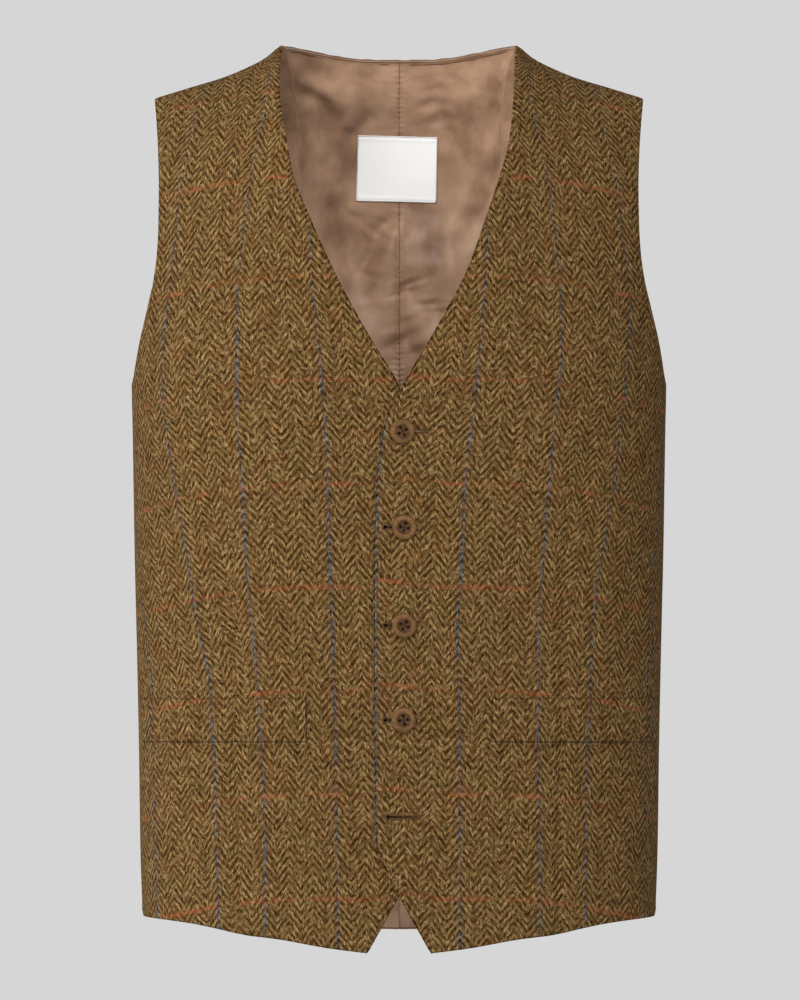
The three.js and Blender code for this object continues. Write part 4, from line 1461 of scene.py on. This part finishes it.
@dataclass
class Button:
    """A four-hole button with a raised rim, on a stub of thread, and the thread crossed over it."""

    number: int
    front: Front
    x: float
    z: float
    turn: float
    radius: float = 8.6
    height: float = 3.2
    hole_radius: float = 1.25
    hole_offset: float = 1.95

    def __post_init__(self) -> None:
        """Works out the button's middle and the three directions of its own frame."""
        angle = FIGURE.angle_at(np.array(self.x), np.array(self.z))
        self.out = FIGURE.outward(angle, FIGURE.reach_at(angle, np.array(self.z)))
        self.right = unit(np.cross([0.0, 0.0, 1.0], self.out))
        self.up = np.cross(self.out, self.right)
        self.seat = self.front.on(self.x, self.z, SEAM_GAP)
        turned = self.turn * DEGREE
        self.right, self.up = (
            np.cos(turned) * self.right + np.sin(turned) * self.up,
            np.cos(turned) * self.up - np.sin(turned) * self.right,
        )

    def placed(self, local: Array) -> Array:
        """Puts points given across, up and out of the button into place."""
        return self.seat + local[..., :1] * self.right + local[..., 1:2] * self.up + local[..., 2:] * self.out

    def body(self) -> bpy.types.Object:
        """Turns the profile, with its stub of thread, round the button's axis; the rim's faces take a lighter
        horn as a painted highlight.
        """
        rim = self.radius
        profile = np.array([
            (0, -3.0), (0.8, -3.0), (0.8, 0), (rim - 2.2, 0), (rim - 0.6, 0.3), (rim, 1.3), (rim - 0.3, 2.3),
            (rim - 1.1, 3.0), (rim - 2.3, self.height + 0.05), (rim - 3.5, 3.0), (rim - 4.5, 2.35),
            (rim - 5.2, 1.9), (2.4, 1.75), (0, 1.7),
        ])
        for _ in range(2):
            a, b = profile[:-1], profile[1:]
            cut = np.stack([0.78 * a + 0.22 * b, 0.22 * a + 0.78 * b], axis=1).reshape(-1, 2)
            profile = np.concatenate([profile[:1], cut, profile[-1:]])
        turn = np.linspace(0, 2 * np.pi, 72, endpoint=False)
        r, h = profile[:, :1], profile[:, 1:]
        local = np.stack([r * np.cos(turn), r * np.sin(turn), h + 0 * turn], axis=-1)
        rows, columns = local.shape[:2]
        i, j = np.meshgrid(np.arange(rows - 1), np.arange(columns), indexing="ij")
        at, beside = i * columns + j, i * columns + (j + 1) % columns
        faces = np.stack([at, beside, beside + columns, at + columns], axis=-1)
        # painted highlight: faces of the raised rim get the lighter horn
        on_painted_highlight = (0.5 * (r[:-1] + r[1:]) > rim - 3.3) & (0.5 * (h[:-1] + h[1:]) > 0.9)
        finishes = self.front.finishes
        return welded(mesh_piece(
            f"button_{self.number}_horn", self.placed(local.reshape(-1, 3)), faces.reshape(-1, 4),
            None, (finishes.horn, finishes.painted_highlight_horn), np.repeat(on_painted_highlight, columns),
        ))

    def drill(self, across: float, up: float) -> tuple[Array, Array]:
        """Makes the rod that drills one hole.

        Args:
            across: Its place across the button.
            up: Its place up the button.

        Returns:
            Points and faces, the caps' being drawn to a point as four corners with one twice.
        """
        around = np.linspace(0, 2 * np.pi, 20, endpoint=False)
        path = np.array([(across, up, h) for h in (-0.6, 2.0, 4.0)])
        flat = np.stack([np.cos(around), np.sin(around), 0 * around], axis=-1) * self.hole_radius
        ring = (path[:, None] + flat).reshape(-1, 3)
        tips = [path[0] - [0, 0, 0.01], path[-1] + [0, 0, 0.01]]
        n = len(around)
        a, b = np.arange(n), (np.arange(n) + 1) % n
        walls = [np.stack([a + s, b + s, b + s + n, a + s + n], axis=-1) for s in (0, n)]
        low = np.stack([np.full(n, 3 * n), b, a, a], axis=-1)
        high = np.stack([np.full(n, 3 * n + 1), a + 2 * n, b + 2 * n, b + 2 * n], axis=-1)
        return self.placed(np.concatenate([ring, tips])), np.concatenate([*walls, low, high])

    def build(self) -> bpy.types.Object:
        """Makes the button and drills its four holes."""
        piece = self.body()
        corners = ((-1, -1), (1, -1), (1, 1), (-1, 1))
        points, faces = joined([self.drill(u * self.hole_offset, v * self.hole_offset) for u, v in corners])
        cut_from(piece, welded(cutter(points, [list(dict.fromkeys(face)) for face in faces.tolist()])))
        smoothed(piece.data)
        piece.data.set_sharp_from_angle(angle=40 * DEGREE)
        return dressed(piece, f"button_{self.number}")

    def thread(self) -> bpy.types.Object:
        """Makes the sewing thread: bowed strands from hole to hole, crossing in the middle."""
        t = np.linspace(-1, 1, 25)
        parts = []
        for lane, (u, v) in enumerate(((1, 1), (1, -1))):
            for shift in (-0.16, 0.16):
                reach = 1.12 * self.hole_offset * t
                bow = 1.85 + 0.16 * lane - 1.6 * np.abs(t) ** 5
                local = np.stack([u * reach - v * shift, v * reach + u * shift, bow], axis=-1)
                path = self.placed(local)
                size = 0.14 * np.sqrt(np.clip(1.01 - t**12, 0, 1))
                parts.append(tube(path, np.broadcast_to(self.out, path.shape), size, size, sides=8))
        return threads(f"button_{self.number}_thread", parts, self.front.finishes.brown)


@dataclass
class Buttonhole:
    """A keyhole buttonhole in the over front, worked round in thread with a bar at its inner end."""

    number: int
    front: Front
    x: float
    z: float
    length: float = 22.6
    width: float = 2.2
    eye: float = 3.6
    purl: float = 0.75

    def outline(self, grow: float) -> Array:
        """Outline of the slot and its round eye, as x and z, grown outwards by a distance."""
        half, radius = self.width / 2, self.eye / 2
        left, right = self.x - self.length / 2, self.x + self.length / 2
        opening = np.arcsin(half / radius)
        turn = np.linspace(opening, 2 * np.pi - opening, 31)
        grown = radius + grow
        eye = np.stack([left + radius + grown * np.cos(turn), self.z + grown * np.sin(turn)], axis=-1)
        run = np.linspace(eye[0, 0], right, 40)[1:]
        upper = np.stack([run, np.full_like(run, self.z + half + grow)], axis=-1)
        end = np.array([[right + grow, self.z + up * (half + grow) * 0.5] for up in (1, -1)])
        lower = np.stack([run[::-1], np.full_like(run, self.z - half - grow)], axis=-1)
        return np.concatenate([upper, end, lower, eye[::-1]])

    def tool(self) -> Array:
        """Draws the outline straight through the front's wall: points ahead of it, then behind it."""
        flat = self.outline(0.0)
        y = -float(FIGURE.front(np.array(self.z)))
        near = np.stack([flat[:, 0], np.full(len(flat), y - 15), flat[:, 1]], axis=-1)
        return np.concatenate([near, near + [0, 30, 0]])

    def stitching(self) -> bpy.types.Object:
        """Makes the worked edge: a cord of close purl stitches round the slot, and the end bar.

        The cord's half width swells with each stitch.
        """
        flat = self.outline(-0.05)
        ring = np.concatenate([flat, flat[:1]])
        at = np.concatenate([[0], np.cumsum(np.hypot(*np.diff(ring, axis=0).T))])
        even = np.linspace(0, at[-1], 420, endpoint=False)
        x, z = np.interp(even, at, ring[:, 0]), np.interp(even, at, ring[:, 1])
        z = self.z + (z - self.z) * (1 - 0.35 * smooth((x - self.x) / 9))
        stitch = 0.5 + 0.5 * np.cos(2 * np.pi * even / self.purl)
        path = self.front.on(x, z, 0.12)
        out = unit(self.front.on(x, z, 1.0) - path)
        parts = [tube(path, out, 0.44 + 0.14 * stitch, 0.5 + 0.16 * stitch, sides=10, closed=True)]
        for k in range(5):
            t = np.linspace(-1, 1, 11)
            bar_x = self.x + self.length / 2 - 0.1 + 0.34 * k
            spread = 2.1 - 0.1 * k
            path = self.front.on(bar_x + 0.12 * k * np.abs(t), self.z + spread * t, 0.3 - 0.35 * t**4)
            size = 0.24 * np.sqrt(np.clip(1.02 - t**8, 0, 1))
            parts.append(tube(path, np.broadcast_to([0.0, -1.0, 0.0], path.shape), size, size, sides=8))
        return threads(f"buttonhole_{self.number}_stitching", parts, self.front.finishes.twist)


def cut_buttonholes(cloth: bpy.types.Object, holes: Sequence[Buttonhole]) -> None:
    """Cuts the five slots out of the over front in one go."""
    points, faces, start = [], [], 0
    for hole in holes:
        points.append(hole.tool())
        count = len(points[-1]) // 2
        a = start + np.arange(count)
        b = np.roll(a, -1)
        faces += np.stack([a, b, b + count, a + count], axis=-1).tolist()
        faces += [a.tolist(), (a[::-1] + count).tolist()]
        start += 2 * count
    tool = cutter(np.concatenate(points), faces)
    turned_out(tool.data)
    cut_from(cloth, tool)


@dataclass(frozen=True)
class Lamp:
    """A square soft light: where it stands and points in metres, the length of its side, and its power."""

    name: str
    place: tuple
    size: float
    watts: float
    aim: tuple = (0, 0, -0.28)


@dataclass
class Studio:
    """The camera, the pale floor and the soft lights."""

    lens: float = 514.3
    floor_height: float = -1.0
    floor_half: float = 4.0
    world: str = "d6d6d6"
    lamps: tuple = (
        Lamp("key", (-2.22, -3.28, 0.28), 3.0, 113.0),
        Lamp("front", (0.0, -3.94, 0.41), 3.0, 12.0),
        Lamp("fill", (1.2, -2.7, 1.6), 0.7, 18.0, (-0.03, 0.08, -0.05)),
        Lamp("upper", (-0.58, -3.27, 1.96), 0.8, 90.0),
        Lamp("side", (-3.98, 0.0, 0.07), 2.0, 85.0),
    )

    def camera(self) -> None:
        """Sets the camera level in front of the garment, a long way off."""
        data = bpy.data.cameras.new("camera")
        data.lens, data.sensor_width, data.clip_end = self.lens, 36.0, 60.0
        camera = bpy.data.objects.new("camera", data)
        camera.location = (0.0007, -CAMERA_DISTANCE * MM, CAMERA_HEIGHT * MM)
        camera.rotation_euler = (np.pi / 2, 0.0, 0.0)
        bpy.context.scene.collection.objects.link(camera)
        bpy.context.scene.camera = camera

    def floor(self) -> None:
        """Lays a plain pale floor below the view."""
        mesh = bpy.data.meshes.new("floor")
        corners = [(-1, -1), (1, -1), (1, 1), (-1, 1)]
        points = [(x * self.floor_half, y * self.floor_half, self.floor_height) for x, y in corners]
        mesh.from_pydata(points, [], [(0, 1, 2, 3)])
        nodes = Nodes("pale floor")
        grit = nodes.noise(nodes.local(), 6.0, flat=False)
        mesh.materials.append(nodes.finished(nodes.blend(grit, "d8d8d8", "dddddd"), {"Roughness": 0.8}))
        floor = bpy.data.objects.new("floor", mesh)
        bpy.context.scene.collection.objects.link(floor)

    def light(self, lamp: Lamp) -> None:
        """Puts up one light."""
        data = bpy.data.lights.new(lamp.name, "AREA")
        data.energy, data.size = lamp.watts, lamp.size
        light = bpy.data.objects.new(lamp.name, data)
        light.location = lamp.place
        light.rotation_euler = (Vector(lamp.aim) - Vector(lamp.place)).to_track_quat("-Z", "Y").to_euler()
        bpy.context.scene.collection.objects.link(light)

    def build(self) -> None:
        """Puts the whole studio up."""
        self.camera()
        self.floor()
        world = bpy.data.worlds.new("studio")
        world.use_nodes = True
        world.node_tree.nodes.clear()
        light = {"Color": linear(self.world), "Strength": 1.0}
        back = put(world.node_tree, "ShaderNodeBackground", None, light)
        put(world.node_tree, "ShaderNodeOutputWorld", None, {0: back.outputs[0]})
        scene = bpy.context.scene
        scene.world = world
        scene.view_settings.view_transform = "Standard"
        for lamp in self.lamps:
            self.light(lamp)



def build_waistcoat() -> None:
    """Builds every piece of the waistcoat in order, and reports each."""
    finishes = Finishes()
    over, under = Front(Side.LEFT, finishes), Front(Side.RIGHT, finishes)
    holes = [Buttonhole(k + 1, over, hole, z) for k, (z, hole, _, _) in enumerate(BUTTON_ROWS)]
    back = Back(finishes)
    label = Label(back)
    pieces = []

    for front in (over, under):
        welt = Welt(front)
        cloth, strip, seam = front.build(), welt.build(), welt.seam()
        if front is over:
            cut_buttonholes(cloth, holes)
        pieces += [cloth, strip, seam]
    pieces.append(back.neck_roll())
    for side in Side:
        outer, lining = back.build(side, False), back.build(side, True)
        pieces += [outer, lining]
    tape = label.build()
    pieces += [tape, label.stitches()]
    pieces += [hole.stitching() for hole in holes]
    for k, (z, _, x, turn) in enumerate(BUTTON_ROWS):
        if x is not None:
            button = Button(k + 1, over, x, z, turn)
            pieces += [button.build(), button.thread()]
    for piece in pieces:
        piece.data.calc_loop_triangles()
        log.info("%s: %d triangles", piece.name, len(piece.data.loop_triangles))


def main() -> None:
    """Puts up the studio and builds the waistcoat."""
    logging.basicConfig(level=logging.INFO, format="%(name)s: %(message)s")
    Studio().build()
    build_waistcoat()
    bpy.context.view_layer.update()


if __name__ == "__main__":
    main()
